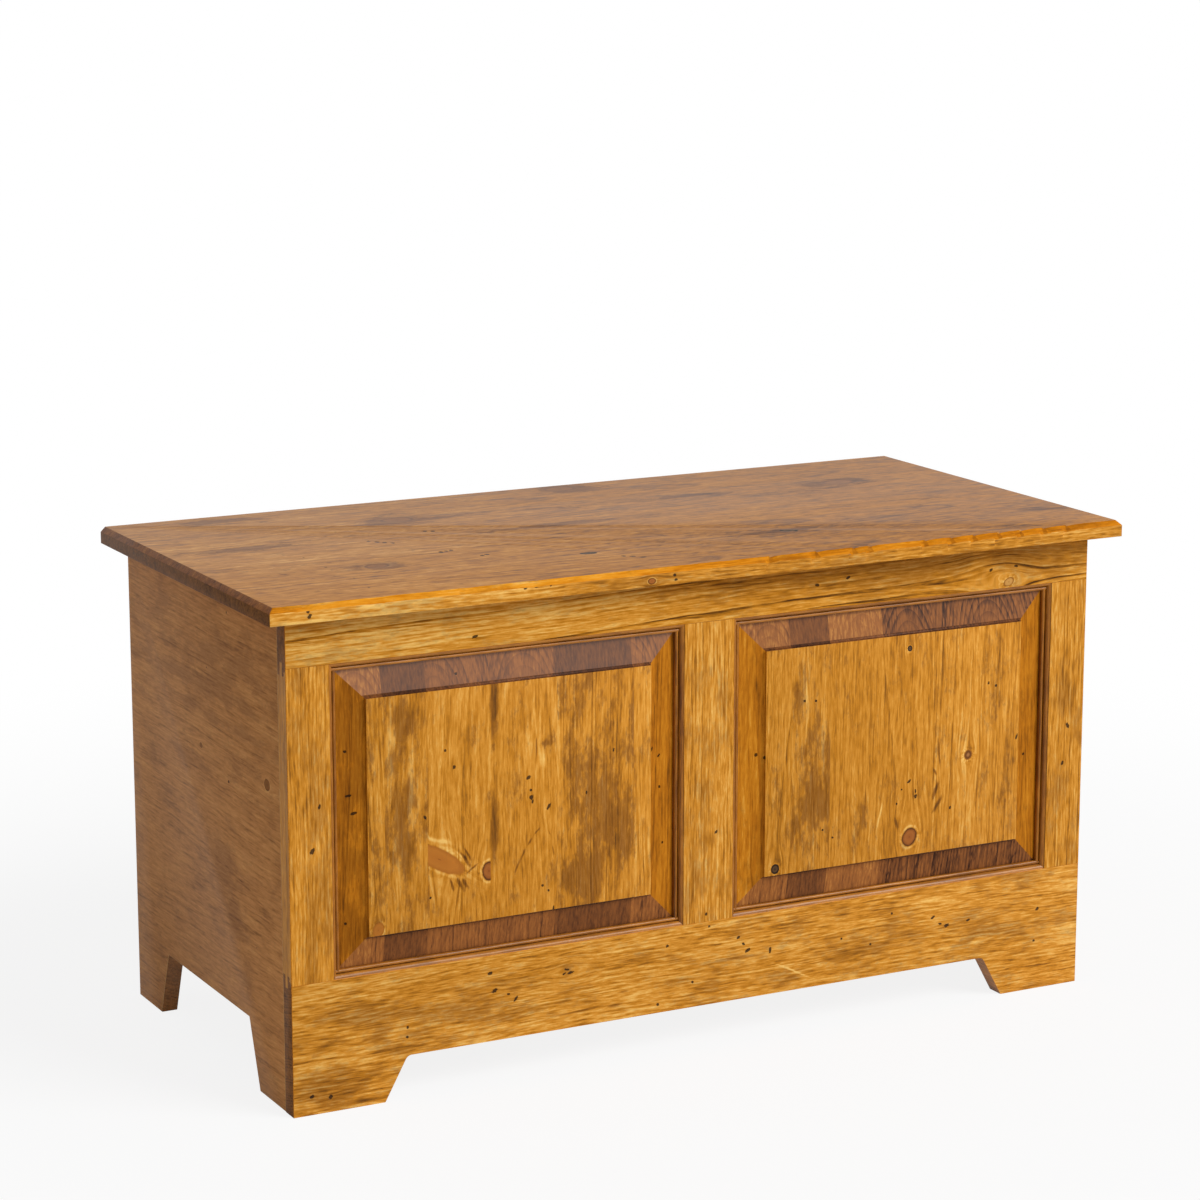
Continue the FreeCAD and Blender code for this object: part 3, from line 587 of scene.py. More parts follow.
    def pool_stain_and_paint_sheen(self, smudges, blotches):
        """Lets stain pool in clouds and in the smudges. A pale smudge is wood with little stain, but the
        broad one on the lid is a painted sheen.
        """
        cloud = self.pattern(CLOUD, self.bent) * CLOUD_SHARE
        cloud = cloud + self.streak * STREAK_SHARE + self.fleck * FLECK_SHARE
        cloud = cloud + (self.patchy - MIDDLE) * PATCH_PULL
        fade = 0.0
        for along, across, half_long, half_wide, strength, *turn in smudges:
            spot = self.vector(self.along, self.bent, fade)
            seen = self.oval(spot, (along, across), (half_long, half_wide), sum(turn))
            fade = self.bell(self.length(seen))
            if strength < 0.0:
                self.tone = self.tone - fade * (self.streak + MIDDLE) * (strength * GLEAM_LIFT)
                continue
            cloud = cloud + fade * (strength * SMUDGE_PULL)
            if turn:
                self.tone = self.tone - fade * (strength * STROKE_DEPTH)
        self.blotch = self.smooth(cloud, *CLOUD_RANGE) * (self.fibre + MIDDLE) * blotches

    def colour_in(self, palette):
        """Turns tone and stain into colour and relief, and lays the knots in."""
        self.height = self.fibre * FIBRE_RELIEF + self.tone * TONE_RELIEF
        tone = self.tone
        for _, around, _ in self.knots:
            tone = tone + around
        self.colour = self.mix(self.blotch, self.ramp(tone, palette), STAIN, "MULTIPLY")
        for away, _, colours in self.knots:
            inside = self.smooth(away, *KNOT_RIM, 1.0, 0.0)
            own = self.ramp(away + self.fleck * KNOT_FLECKS - KNOT_FLECKS * MIDDLE, colours)
            own = self.mix(self.streak * KNOT_STREAKS, own, HOLE_COLOUR)
            self.colour = self.mix(inside, self.colour, own)
            self.height = self.height - inside * KNOT_RELIEF

    def punch(self, holes, marks):
        """Makes the scattered worm holes and the placed dents."""
        dent = 0.0
        if holes:
            scattered = self.along * HOLES_PER_METRE, self.across * HOLES_PER_METRE
            distance, chances = self.cells(*scattered)
            wide = chances[1] * (HOLE_RADIUS * HOLES_PER_METRE) + HOLE_LEAST
            present = self.math("LESS_THAN", chances[0], HOLE_SHARE * holes)
            dent = self.smooth(distance / wide + self.rough * MARK_RAGGED, *HOLE_RIM, 1.0, 0.0) * present
        if marks:
            closest = FAR_OFF
            for mark in marks:
                closest = self.closer(closest, *mark)
            ragged = (self.pattern(SPECK, self.across) - MIDDLE) * MARK_RAGGED
            dent = self.math("MAXIMUM", self.smooth(closest + ragged, *MARK_RIM, 1.0, 0.0), dent)
        if holes or marks:
            self.colour = self.mix(dent * DENT_COVER, self.colour, HOLE_COLOUR)
            self.height = self.height - dent * DENT_RELIEF

    def closer(self, closest, along, across, radius, stretch=1.0, turn=0.0):
        """The lesser of a distance and that to a mark, in parts of its radius."""
        spot = self.vector(self.along, self.across, closest)
        seen = self.oval(spot, (along, across), (radius * stretch, radius), turn)
        return self.math("MINIMUM", self.length(seen), closest)

    def finish(self, roughness, gloss):
        sheen = self.drift * DRIFT_SHEEN + self.fibre * FIBRE_SHEEN + (roughness - SHEEN_MIDDLE)
        return self.surface(self.colour, sheen, self.height, RELIEF, gloss)


WOOD = {}


def pine(
    name, axes, palette, seed, pith=(0.0, 0.05, 0.04), spacing=0.004, level=0.6, lines=0.14, streaks=0.55,
    fibres=0.4, mottles=0.3, blotches=0.5, staves=(), knots=(), smudges=(), marks=(), holes=0.0,
    fineness=1.0, roughness=0.45, gloss=0.12
):
    """Adds a finish of stained pine. The axes are those along the grain, across the board and into it.

    The pith is where the heart of the tree lies across and into the board, and how far it leans along it.
    The spacing is that of the growth rings, and the level is the middle of the tone. A stave is the place
    where it ends, then its own pith, lift of tone, share of blotches and strength of lines, from 0 to 1. A
    knot is its place along and across, radius, stretch, turn and kind. A smudge is its place, half its
    length and width, its strength, below zero for a pale one, and a stroke's turn. A mark is its place,
    radius, stretch and turn, and round without the last two. The fineness is that of the grain's small
    patterns across the board.
    """
    board = Board(name, axes, seed, staves, fineness)
    board.bend_grain(knots)
    board.draw_rings(pith, spacing, level, lines)
    board.draw_fibres(streaks, fibres, mottles)
    board.pool_stain_and_paint_sheen(smudges, blotches)
    board.colour_in(palette)
    board.punch(holes, marks)
    WOOD[name] = board.finish(roughness, gloss)


# Boards of the panels: where each ends across the front, then its pith, lift of tone, blotches and lines
PANEL_LOW = -BODY_END
PANEL_HIGH = BODY_END
PANEL_STAVES = (
    (PANEL_LOW, 0.5, 0.5, 0.5, 0.5),
    (-0.396, 0.02, 0.52, 0.5, 0.5),
    (-0.345, 0.16, 0.51, 0.8, 0.3),
    (-0.2705, 0.27, 0.52, 0.1, 0.35),
    (-0.19, 0.275, 0.48, 0.2, 0.22),
    (-0.095, 0.85, 0.455, 0.61, 0.4),
    (0.0, 0.32, 0.51, 0.3, 0.5),
    (0.105, 0.64, 0.5, 0.3, 0.5),
    (0.1565, 0.56, 0.52, 0.78, 0.3),
    (0.226, 0.8, 0.48, 0.1, 0.35),
    (0.2955, 0.7, 0.46, 0.2, 0.35),
    (PANEL_HIGH, 0.97, 0.5, 0.4, 0.5),
)
BEVEL_STAVES = (
    (PANEL_LOW, 0.5, 0.5, 0.5, 0.5),
    (-0.396, 0.08, 0.66, 0.3, 0.5),
    (-0.345, 0.16, 0.28, 0.4, 0.12),
    (-0.2705, 0.17, 0.53, 0.3, 0.5),
    (-0.19, 0.275, 0.53, 0.4, 0.5),
    (-0.095, 0.5, 0.28, 0.4, 0.12),
    (0.0, 0.4, 0.54, 0.3, 0.6),
    (0.105, 0.58, 0.6, 0.3, 0.5),
    (0.1565, 0.56, 0.3, 0.4, 0.12),
    (0.226, 0.7, 0.63, 0.2, 0.3),
    (0.2955, 0.76, 0.46, 0.4, 0.9),
    (PANEL_HIGH, 0.87, 0.45, 0.3, 0.9),
)

# Knots, smudges and marks that stand out in the photograph, placed one by one, in rows as pine takes them
PANEL_KNOTS = (
    (0.264, -0.332, 0.0105, 3.1, -1.03, FLAME_KNOT),
    (0.243, -0.2725, 0.0078, 1.3, 0.0, ROUND_KNOT),
    (0.195, -0.404, 0.006, 1.3, 0.3, FLAME_KNOT),
    (0.2103, 0.2663, 0.009, 1.2, 0.5, ROUND_KNOT),
    (0.2989, 0.345, 0.0052, 1.1, 0.4, SWIRL_KNOT),
    (0.434, 0.2625, 0.003, 1.1, 0.0, DEAD_KNOT),
    (0.196, 0.087, 0.005, 1.1, 0.0, DEAD_KNOT),
)
PANEL_SMUDGES = (
    (0.4, -0.125, 0.05, 0.022, 0.7),
    (0.31, -0.135, 0.05, 0.03, 0.9),
    (0.225, -0.155, 0.04, 0.03, 0.8),
    (0.26, -0.105, 0.035, 0.012, 0.8),
    (0.42, -0.37, 0.03, 0.014, 0.7),
    (0.3, -0.372, 0.07, 0.015, 0.6),
    (0.268, 0.133, 0.052, 0.021, 1.1),
    (0.432, -0.2648, 0.034, 0.0055, 2.4, 0.01),
    (0.293, -0.2655, 0.024, 0.0045, 2.0, 0.01),
    (0.28, -0.216, 0.005, 0.001, 1.2, 0.8),
    (0.269, -0.225, 0.005, 0.0012, 1.2, 0.6),
    (0.256, -0.233, 0.006, 0.0013, 1.2, 0.45),
    (0.242, -0.24, 0.006, 0.0012, 1.1, 0.4),
    (0.276, -0.201, 0.005, 0.001, 1.1, -0.4),
    (0.256, -0.1965, 0.007, 0.001, 1.1, -0.2),
    (0.3742, -0.2159, 0.0195, 0.0009, 1.4, 0.05),
    (0.3777, -0.2029, 0.003, 0.008, 0.9),
    (0.245, 0.201, 0.025, 0.012, 0.8),
    (0.2616, -0.3037, 0.011, 0.0022, 2.0, -0.8),
    (0.266, -0.2985, 0.008, 0.0016, 1.6, -0.7),
    (0.2336, -0.319, 0.009, 0.0016, 2.0, -0.44),
    (0.2345, -0.3096, 0.009, 0.0024, 2.2, -0.65),
    (0.2334, -0.3013, 0.007, 0.002, 2.0, -0.77),
    (0.2808, -0.3379, 0.005, 0.0014, 1.6, -1.03),
    (0.2485, -0.2895, 0.009, 0.0012, 1.4, 1.1),
    (0.2615, 0.3023, 0.0085, 0.0017, 2.2, 0.35),
    (0.2444, 0.305, 0.01, 0.0021, 2.2, 0.56),
    (0.2843, 0.3013, 0.005, 0.0014, 1.8, -0.53),
    (0.305, 0.306, 0.014, 0.0012, 1.5, -0.12),
    (0.2286, 0.2547, 0.009, 0.0026, 1.8, -0.45),
    (0.3954, -0.2161, 0.0267, 0.0014, -0.6, -0.11),
    (0.3604, -0.2084, 0.0104, 0.003, -0.7, -0.17),
    (0.2457, 0.2276, 0.0172, 0.0012, -1.2, 0.24),
    (0.287, -0.333, 0.013, 0.002, -1.2, -1.0),
    (0.265, -0.3105, 0.012, 0.0014, -1.0, -0.9),
    (0.2452, -0.3391, 0.012, 0.005, -0.7, -0.6),
    (0.4, -0.385, 0.04, 0.005, -0.7),
    (0.35, -0.362, 0.045, 0.004, -0.7),
    (0.26, -0.378, 0.04, 0.004, -0.5),
    (0.37, -0.222, 0.025, 0.006, -0.4),
    (0.38, -0.185, 0.08, 0.006, -0.4),
    (0.4, 0.122, 0.05, 0.005, -0.5),
    (0.35, 0.148, 0.04, 0.004, -0.5),
    (0.22, 0.132, 0.03, 0.005, -0.4),
    (0.23, 0.19, 0.04, 0.005, -0.4),
    (0.3, 0.345, 0.08, 0.016, -0.25),
)
BEVEL_SMUDGES = (
    (0.3, 0.052, 0.4, 0.026, -0.35),
    (0.42, -0.437, 0.09, 0.02, 0.9),
    (0.21, -0.437, 0.06, 0.02, 0.8),
    (0.32, -0.435, 0.08, 0.014, 0.4),
)
STILE_SMUDGES = (
    (0.337, 0.484, 0.028, 0.02, 0.9),
    (0.25, 0.47, 0.02, 0.018, 0.7),
    (0.3, -0.48, 0.25, 0.03, 0.5),
    (0.3, 0.0, 0.4, 0.04, -0.34),
    (0.4, 0.02, 0.04, 0.012, 0.5),
    (0.2, -0.01, 0.05, 0.014, 0.4),
)
RAIL_KNOTS = (
    (0.396, 0.499, 0.0045, 1.5, 0.4, PALE_KNOT),
    (-0.1754, 0.1144, 0.006, 1.2, 0.0, GRAIN_BEND),
    (0.38, 0.504, 0.015, 1.5, 0.0, GRAIN_BEND),
)
RAIL_SMUDGES = (
    (0.32, 0.53, 0.22, 0.018, 1.1),
    (0.3, 0.505, 0.2, 0.012, 0.6),
    (-0.4, 0.52, 0.18, 0.03, -0.85),
    (-0.15, 0.53, 0.16, 0.014, -0.4),
    (-0.3, 0.085, 0.09, 0.02, 0.5),
    (-0.43, 0.105, 0.06, 0.014, 0.7),
    (-0.455, 0.03, 0.04, 0.02, 0.9),
    (0.1, 0.11, 0.08, 0.015, 0.4),
    (0.35, 0.08, 0.16, 0.05, 0.3, 0.01),
    (-0.1754, 0.1144, 0.01, 0.004, 0.9),
    (0.1097, 0.063, 0.0146, 0.0045, 1.1, 0.05),
    (-0.1173, 0.0648, 0.0082, 0.0025, 1.7, 0.06),
    (-0.1079, 0.0791, 0.0088, 0.0022, 1.7, -0.02),
    (-0.1636, 0.0645, 0.0231, 0.0012, 2.0, 0.04),
    (0.0383, 0.0975, 0.0261, 0.0014, 1.8, 0.01),
    (0.1116, 0.0719, 0.0231, 0.001, -1.3, -0.45),
)
LID_STAVES = (
    (LID_LOW.y, 0.5, 0.5, 0.5, 0.5),
    (-0.165, 0.05, 0.52, 0.0, 0.5),
    (-0.06, 0.34, 0.5, 0.0, 0.5),
    (0.045, 0.3, 0.52, 0.0, 0.5),
    (0.15, 0.72, 0.51, 0.0, 0.5),
    (LID_HIGH.y, 0.86, 0.5, 0.0, 0.5),
)
LID_KNOTS = (
    (-0.213, 0.137, 0.012, 1.6, 0.0, SOFT_KNOT),
    (0.374, 0.116, 0.012, 1.7, 0.0, SOFT_KNOT),
    (-0.344, -0.1, 0.009, 1.5, 0.0, SOFT_KNOT),
    (0.159, -0.128, 0.007, 1.6, 0.0, DEAD_KNOT),
    (-0.107, -0.142, 0.006, 1.6, 0.0, DEAD_KNOT),
    (0.047, 0.232, 0.012, 1.6, 0.0, SOFT_KNOT),
)
LID_SMUDGES_AND_SHEEN = (
    # The first smudge is a painted sheen: a broad pale patch that makes the lid lighter over its left half.
    (-0.42, 0.0, 0.48, 0.6, -0.68),
    (-0.399, 0.22, 0.06, 0.02, 1.5),
    (-0.424, 0.056, 0.1, 0.015, 1.6),
    (-0.213, 0.137, 0.045, 0.024, 1.6),
    (-0.15, 0.132, 0.06, 0.008, 1.3),
    (-0.344, -0.1, 0.045, 0.017, 1.5),
    (-0.057, 0.027, 0.12, 0.01, 1.7),
    (0.047, 0.232, 0.055, 0.02, 1.6),
    (0.374, 0.116, 0.055, 0.022, 1.3),
    (0.292, 0.08, 0.07, 0.018, 1.2),
    (0.159, -0.128, 0.08, 0.014, 1.2),
    (0.499, -0.15, 0.05, 0.018, 1.2),
    (0.12, 0.12, 0.12, 0.008, 1.2),
)
FIELD_MARKS = (
    (0.3837, -0.3237, 0.0013),
    (0.3636, -0.3132, 0.0015, 1.2),
    (0.3416, -0.2242, 0.0014, 2.2, 1.1),
    (0.3272, -0.2213, 0.0012),
    (0.3188, -0.2207, 0.002, 1.2, 0.3),
    (0.314, -0.2195, 0.0009, 2.6, 0.2),
    (0.3065, -0.1995, 0.0014, 2.4, 0.6),
    (0.36, -0.1201, 0.0009, 2.0, 0.2),
    (0.316, -0.1535, 0.0008, 2.4, 0.1),
    (0.3126, -0.348, 0.001, 2.2, -0.5),
    (0.2176, -0.2077, 0.0011),
    (0.2109, -0.2004, 0.0011),
    (0.2222, -0.3425, 0.0012),
    (0.1895, -0.1944, 0.0009, 3.0, 0.1),
    (0.3816, 0.3712, 0.0012, 1.2),
    (0.3775, 0.3817, 0.0012, 1.2),
    (0.388, 0.1231, 0.0013),
    (0.3863, 0.1382, 0.0012),
    (0.3129, 0.4122, 0.0011, 2.8, 0.3),
    (0.2768, 0.2646, 0.0013, 1.9, 0.9),
    (0.2685, 0.2545, 0.0009),
    (0.2578, 0.2738, 0.0018, 1.2, 0.5),
    (0.264, 0.2735, 0.0008, 2.5, -0.1),
    (0.2521, 0.2481, 0.0009, 1.4),
    (0.2385, 0.3216, 0.0012, 1.2),
    (0.234, 0.1491, 0.0011),
    (0.2233, 0.1625, 0.0011),
)
BEVEL_MARKS = (
    (0.4647, -0.307, 0.0013),
    (0.3939, -0.4369, 0.0014),
    (0.3455, -0.4336, 0.0012, 2.6, 1.4),
    (0.3257, -0.4282, 0.0014, 2.2, 1.3),
    (0.3087, -0.403, 0.0012, 2.6, 0.6),
    (0.2047, -0.4388, 0.0012),
    (0.354, -0.0702, 0.001, 2.2, 0.4),
    (0.3449, -0.0608, 0.001, 2.0, 0.7),
    (0.3093, -0.0593, 0.0012, 1.2),
    (0.2444, -0.0546, 0.0012),
    (0.3859, 0.0394, 0.0013, 2.4, 0.2),
    (0.3311, 0.0638, 0.0014, 1.4, 0.8),
    (0.3282, 0.0736, 0.0013, 1.6, 0.5),
    (0.2889, 0.4263, 0.0012, 1.2),
)
EDGE_KNOTS = (
    (-0.0879, 0.551, 0.0032, 1.4, 0.0, ROUND_KNOT),
)
EDGE_MARKS = (
    (-0.4907, 0.557, 0.0013, 1.2, 0.3),
    (-0.489, 0.552, 0.0016, 1.5, 1.0),
    (-0.24, 0.5585, 0.0014, 1.8, 0.4),
    (-0.228, 0.559, 0.0016, 1.4, -0.5),
    (-0.21, 0.5595, 0.0011, 2.0, 1.2),
    (-0.06, 0.555, 0.0013, 1.2),
    (-0.0583, 0.55, 0.0013, 1.2),
)
STILE_MARKS = (
    (0.273, 0.478, 0.0013, 1.8, 0.4),
    (0.318, 0.484, 0.0016, 2.2, -0.4),
    (0.292, -0.479, 0.0018, 1.8, 0.5),
    (0.34, -0.47, 0.0012, 2.0, 0.2),
    (0.25, 0.01, 0.0012, 1.8, 0.8),
    (0.1557, -0.0022, 0.0012, 1.4),
)
RAIL_MARKS = (
    (-0.1779, 0.117, 0.001, 3.0, -0.1),
    (-0.1735, 0.1128, 0.0012, 2.6, 0.2),
    (-0.1815, 0.1124, 0.0009, 2.0, 0.5),
    (0.1781, 0.5242, 0.0015, 1.6, 0.3),
    (0.1375, 0.52, 0.0014, 1.8, -0.3),
    (0.3709, 0.5152, 0.0015, 1.5, 0.5),
    (0.4054, 0.5167, 0.0013, 1.6),
    (-0.2872, 0.5047, 0.0012, 2.4, 0.3),
    (-0.2721, 0.1266, 0.0015, 1.9, 0.4),
    (-0.2669, 0.106, 0.0018, 1.8, 0.5),
    (-0.2409, 0.0932, 0.0012, 2.6, 0.9),
    (-0.2498, 0.0997, 0.001, 1.5),
    (-0.0518, 0.1254, 0.0014, 1.1),
    (-0.0195, 0.0784, 0.0013, 1.2),
    (-0.0639, 0.0589, 0.0013, 1.2),
    (-0.3713, 0.0808, 0.0012),
    (-0.3718, 0.0698, 0.0012),
    (-0.4842, 0.0205, 0.0014, 1.6, 0.6),
    (-0.4627, 0.0169, 0.0018, 1.3, 0.3),
    (0.0017, 0.1406, 0.0013),
    (0.04, 0.1223, 0.0012, 1.8, 0.5),
    (0.0462, 0.1137, 0.0011, 1.8, -0.5),
    (0.0517, 0.1049, 0.0015, 2.0, 0.5),
    (0.0814, 0.1012, 0.0013, 2.2, 1.4),
    (0.1766, 0.101, 0.0012),
    (0.2158, 0.0885, 0.0012),
    (0.2443, 0.1213, 0.0013),
    (0.3008, 0.1082, 0.0012, 2.2, 0.6),
    (0.3202, 0.0961, 0.0017, 1.6, 0.3),
    (0.3112, 0.0992, 0.0011, 2.0, -0.4),
    (0.3501, 0.0983, 0.0012, 1.6, 0.4),
    (0.4478, 0.0981, 0.0016, 1.6, 0.6),
    (0.444, 0.0594, 0.0012, 1.2),
)
LID_MARKS = (
    (-0.295, 0.033, 0.0024, 0.9),
    (-0.2883, 0.0249, 0.003, 0.8),
    (-0.282, 0.018, 0.0024),
    (-0.275, 0.012, 0.0028, 0.8),
    (-0.249, -0.0611, 0.0028, 0.8),
    (-0.242, -0.059, 0.0022, 0.9),
    (-0.235, -0.057, 0.0026, 0.8),
    (-0.217, -0.1, 0.0024, 0.9),
    (-0.21, -0.097, 0.0028, 0.8),
    (-0.213, 0.06, 0.0024, 0.9),
    (-0.205, 0.056, 0.0028, 0.8),
    (-0.08, -0.175, 0.0026, 0.9),
    (-0.072, -0.181, 0.0024, 1.2),
    (-0.064, -0.19, 0.0026, 1.4),
)
SIDE_KNOTS = (
    (0.0226, 0.3547, 0.0028, 1.5, 0.0, SOFT_KNOT),
    (-0.1698, 0.3545, 0.006, 1.2, 0.0, SOFT_KNOT),
)
SIDE_SMUDGES = (
    (0.0, 0.47, 0.26, 0.03, 0.7),
    (0.06, 0.425, 0.22, 0.01, 1.0),
    (-0.06, 0.395, 0.16, 0.008, 1.0),
    (0.02, 0.33, 0.05, 0.012, 0.7),
    (-0.033, 0.235, 0.04, 0.03, 1.0),
    (-0.07, 0.18, 0.02, 0.035, 0.9),
    (-0.103, 0.112, 0.016, 0.04, 0.8),
    (0.2, 0.3, 0.06, 0.01, 0.6),
)
CHAMFER_SMUDGES = (
    *((place, LID_HIGH.z - 0.003, 0.0022, 0.006, 2.4) for place in RASP_PLACES),
    (-0.18, LID_HIGH.z, 0.32, 0.05, -0.7),
    (-0.5, LID_HIGH.z, 0.1, 0.05, -0.3),
)
EDGE_SMUDGES = (
    (-0.4, LID_LOW.z, 0.17, 0.05, -1.05),
    (-0.1, LID_LOW.z + 0.007, 0.05, 0.006, 0.7),
    (0.15, LID_LOW.z + 0.006, 0.06, 0.005, 0.7),
)

# Metals: the scale and detail of their clouds and brush marks, their two colours, roughness and relief
BRASS_CLOUDS = 90.0
BRASS_DETAIL = 4.0
BRASS_DULL = (0.4, 0.75)
BRASS_COLOURS = ((0.62, 0.4, 0.13, 1.0), (0.3, 0.17, 0.05, 1.0))
BRASS_ROUGHNESS = 0.15
BRASS_CLOUDED = 0.25
BRASS_BRUSHED = 0.15
BRASS_RELIEF = 0.00004
BRUSHED_ALONG = 60.0
BRUSHED_ACROSS = 900.0
STEEL_CLOUDS = 260.0
STEEL_DETAIL = 3.0
STEEL_COLOURS = ((0.5, 0.45, 0.36, 1.0), (0.24, 0.21, 0.17, 1.0))
STEEL_ROUGHNESS = 0.2
STEEL_CLOUDED = 0.3
STEEL_RELIEF = 0.00005
METAL_GLOSS = 0.5


def brass(name):
    graph = Graph(bpy.data.materials.new(name))
    x, y, z = graph.place()
    cloud = graph.noise(x * BRASS_CLOUDS, y * BRASS_CLOUDS, z * BRASS_CLOUDS, BRASS_DETAIL)
    brushed = graph.noise(x * BRUSHED_ALONG, y * BRUSHED_ACROSS, z * BRUSHED_ACROSS)
    colour = graph.mix(graph.smooth(cloud, *BRASS_DULL), *BRASS_COLOURS)
    roughness = cloud * BRASS_CLOUDED + brushed * BRASS_BRUSHED + BRASS_ROUGHNESS
    return graph.surface(colour, roughness, brushed, BRASS_RELIEF, METAL_GLOSS, metallic=1.0)


def steel(name):
    graph = Graph(bpy.data.materials.new(name))
    x, y, z = graph.place()
    cloud = graph.noise(x * STEEL_CLOUDS, y * STEEL_CLOUDS, z * STEEL_CLOUDS, STEEL_DETAIL)
    colour = graph.mix(cloud, *STEEL_COLOURS)
    roughness = cloud * STEEL_CLOUDED + STEEL_ROUGHNESS
    return graph.surface(colour, roughness, cloud, STEEL_RELIEF, METAL_GLOSS, metallic=1.0)


# What finishes have in common
RAIL_SPOTS = dict(knots=RAIL_KNOTS, smudges=RAIL_SMUDGES, marks=RAIL_MARKS)
SHORT_BEVEL = dict(
    spacing=0.0044, streaks=0.35, mottles=0.2, blotches=0.2, staves=BEVEL_STAVES, marks=BEVEL_MARKS
)
SIDE_BOARD = dict(
    spacing=0.005, level=0.69, streaks=0.24, fibres=0.55, blotches=0.45, knots=SIDE_KNOTS, holes=0.4,
    roughness=0.5, gloss=0.05
)

pine(
    "lid_top", "XYZ", LID_BROWN, 3.0, (0.0, 0.5, 0.05), spacing=0.005, level=0.51, lines=0.2, streaks=0.4,
    fibres=0.6, mottles=0.2, blotches=0.9, staves=LID_STAVES, knots=LID_KNOTS, smudges=LID_SMUDGES_AND_SHEEN,
    marks=LID_MARKS, holes=0.4, fineness=0.4, roughness=0.46
)
pine(
    "lid_chamfer", "XZY", ORANGE, 5.0, (0.5, -0.2, 0.03), level=0.54, streaks=0.9, blotches=0.6,
    smudges=CHAMFER_SMUDGES, gloss=0.02
)
pine(
    "lid_edge", "XZY", GOLDEN, 6.0, (0.5, -0.22, 0.02), spacing=0.0035, level=0.64, fibres=0.8,
    knots=EDGE_KNOTS, smudges=EDGE_SMUDGES, marks=EDGE_MARKS
)
pine("lid_end", "XYZ", END_BROWN, 3.0, (0.0, 0.5, 0.05), level=0.46, staves=LID_STAVES, gloss=0.05)
pine(
    "lid_end_chamfer", "XYZ", RUSSET, 4.0, (0.0, 0.5, 0.05), level=0.66, streaks=1.0, staves=LID_STAVES,
    gloss=0.08
)
pine("lid_back", "XZY", LID_BROWN, 7.0, (0.5, 0.3, 0.02), spacing=0.0035)
pine("lid_under", "XYZ", LID_BROWN, 8.0, (0.0, 0.62, 0.05), spacing=0.0055, level=0.62, staves=LID_STAVES)
pine(
    "top_rail", "XZY", GOLDEN, 11.0, (0.46, -0.2, 0.05), spacing=0.0055, level=0.71, lines=0.44,
    streaks=0.3, fibres=0.62, mottles=0.35, gloss=0.06, **RAIL_SPOTS
)
pine(
    "bottom_rail", "XZY", GOLDEN, 12.0, (0.02, -0.26, 0.04), spacing=0.0055, level=0.69, streaks=0.36,
    fibres=0.8, mottles=0.5, blotches=0.6, **RAIL_SPOTS
)
pine(
    "stile", "ZXY", GOLDEN, 14.0, (0.9, -0.2, 0.02), spacing=0.0045, level=0.67, lines=0.2, streaks=0.2,
    fibres=0.66, mottles=0.25, smudges=STILE_SMUDGES, marks=STILE_MARKS
)
pine("stile_edge", "ZYX", GOLDEN, 15.0, (-0.5, -0.5, 0.02), spacing=0.005)
pine(
    "rail_end", "XZY", END_BROWN, 16.0, (0.46, -0.15, 0.02), spacing=0.003, level=0.62, lines=0.3,
    gloss=0.05
)
pine("moulding_x", "XZY", WALNUT, 17.0, (0.46, -0.2, 0.02), level=0.59, roughness=0.34, gloss=0.32)
pine("moulding_z", "ZXY", WALNUT, 18.0, (0.9, -0.2, 0.02), level=0.5, roughness=0.32, gloss=0.2)
# The quirk's dark finish is painted shade in the recess, together with stain that pools there.
pine("quirk", "XZY", WALNUT, 19.0, level=0.22)
pine(
    "field", "ZXY", GOLDEN, 21.0, (0.0, -0.14, -0.05), spacing=0.0037, level=0.66, lines=0.22, streaks=0.15,
    fibres=0.52, mottles=0.25, blotches=0.85, staves=PANEL_STAVES, knots=PANEL_KNOTS, smudges=PANEL_SMUDGES,
    marks=FIELD_MARKS
)
pine(
    "long_bevel", "ZXY", AMBER, 22.0, (0.0, -0.14, 0.05), spacing=0.0037, level=0.64, lines=0.2,
    streaks=0.6, fibres=0.5, mottles=0.4, blotches=0.6, staves=PANEL_STAVES, smudges=BEVEL_SMUDGES,
    marks=BEVEL_MARKS, gloss=0.04
)
pine("step", "ZXY", RUSSET, 23.0, (0.0, -0.19, 0.1), level=0.42, staves=BEVEL_STAVES, gloss=0.1)
for name, level, lines, roughness, gloss in (
    ("top_bevel", 0.67, 0.3, 0.38, 0.65),
    ("right_top_bevel", 0.74, 0.3, 0.38, 0.3),
    ("low_bevel", 0.67, 0.32, 0.45, 0.08),
):
    look = dict(SHORT_BEVEL, level=level, lines=lines, roughness=roughness, gloss=gloss)
    pine(name, "ZXY", RUSSET, 21.0, (0.0, -0.19, 0.14), **look)
pine("side", "YZX", SIDE_BROWN_AND_SHEEN, 25.0, (0.2, -0.42, 0.05), smudges=SIDE_SMUDGES, **SIDE_BOARD)
pine("right_side", "YZX", SIDE_BROWN_AND_SHEEN, 27.0, (0.35, 0.42, 0.05), **SIDE_BOARD)
pine("side_edge", "YZX", SIDE_BROWN_AND_SHEEN, 26.0, (0.2, -0.42, 0.05), level=0.5)
for name, axes, seed, pith in (
    ("inside_x", "XZY", 31.0, (0.2, 0.15, 0.04)),
    ("inside_y", "YZX", 32.0, (0.2, 0.42, 0.04)),
    ("inside_z", "ZXY", 33.0, (0.05, -0.15, 0.04)),
):
    pine(name, axes, PLAIN, seed, pith, spacing=0.006, level=0.62, blotches=0.2)
pine("plain_x", "XZY", PLAIN, 34.0, (0.3, 0.1, 0.02), level=0.62, blotches=0.1)
pine("plain_y", "YXZ", PLAIN, 35.0, (0.3, 0.3, 0.02), level=0.62, blotches=0.1)
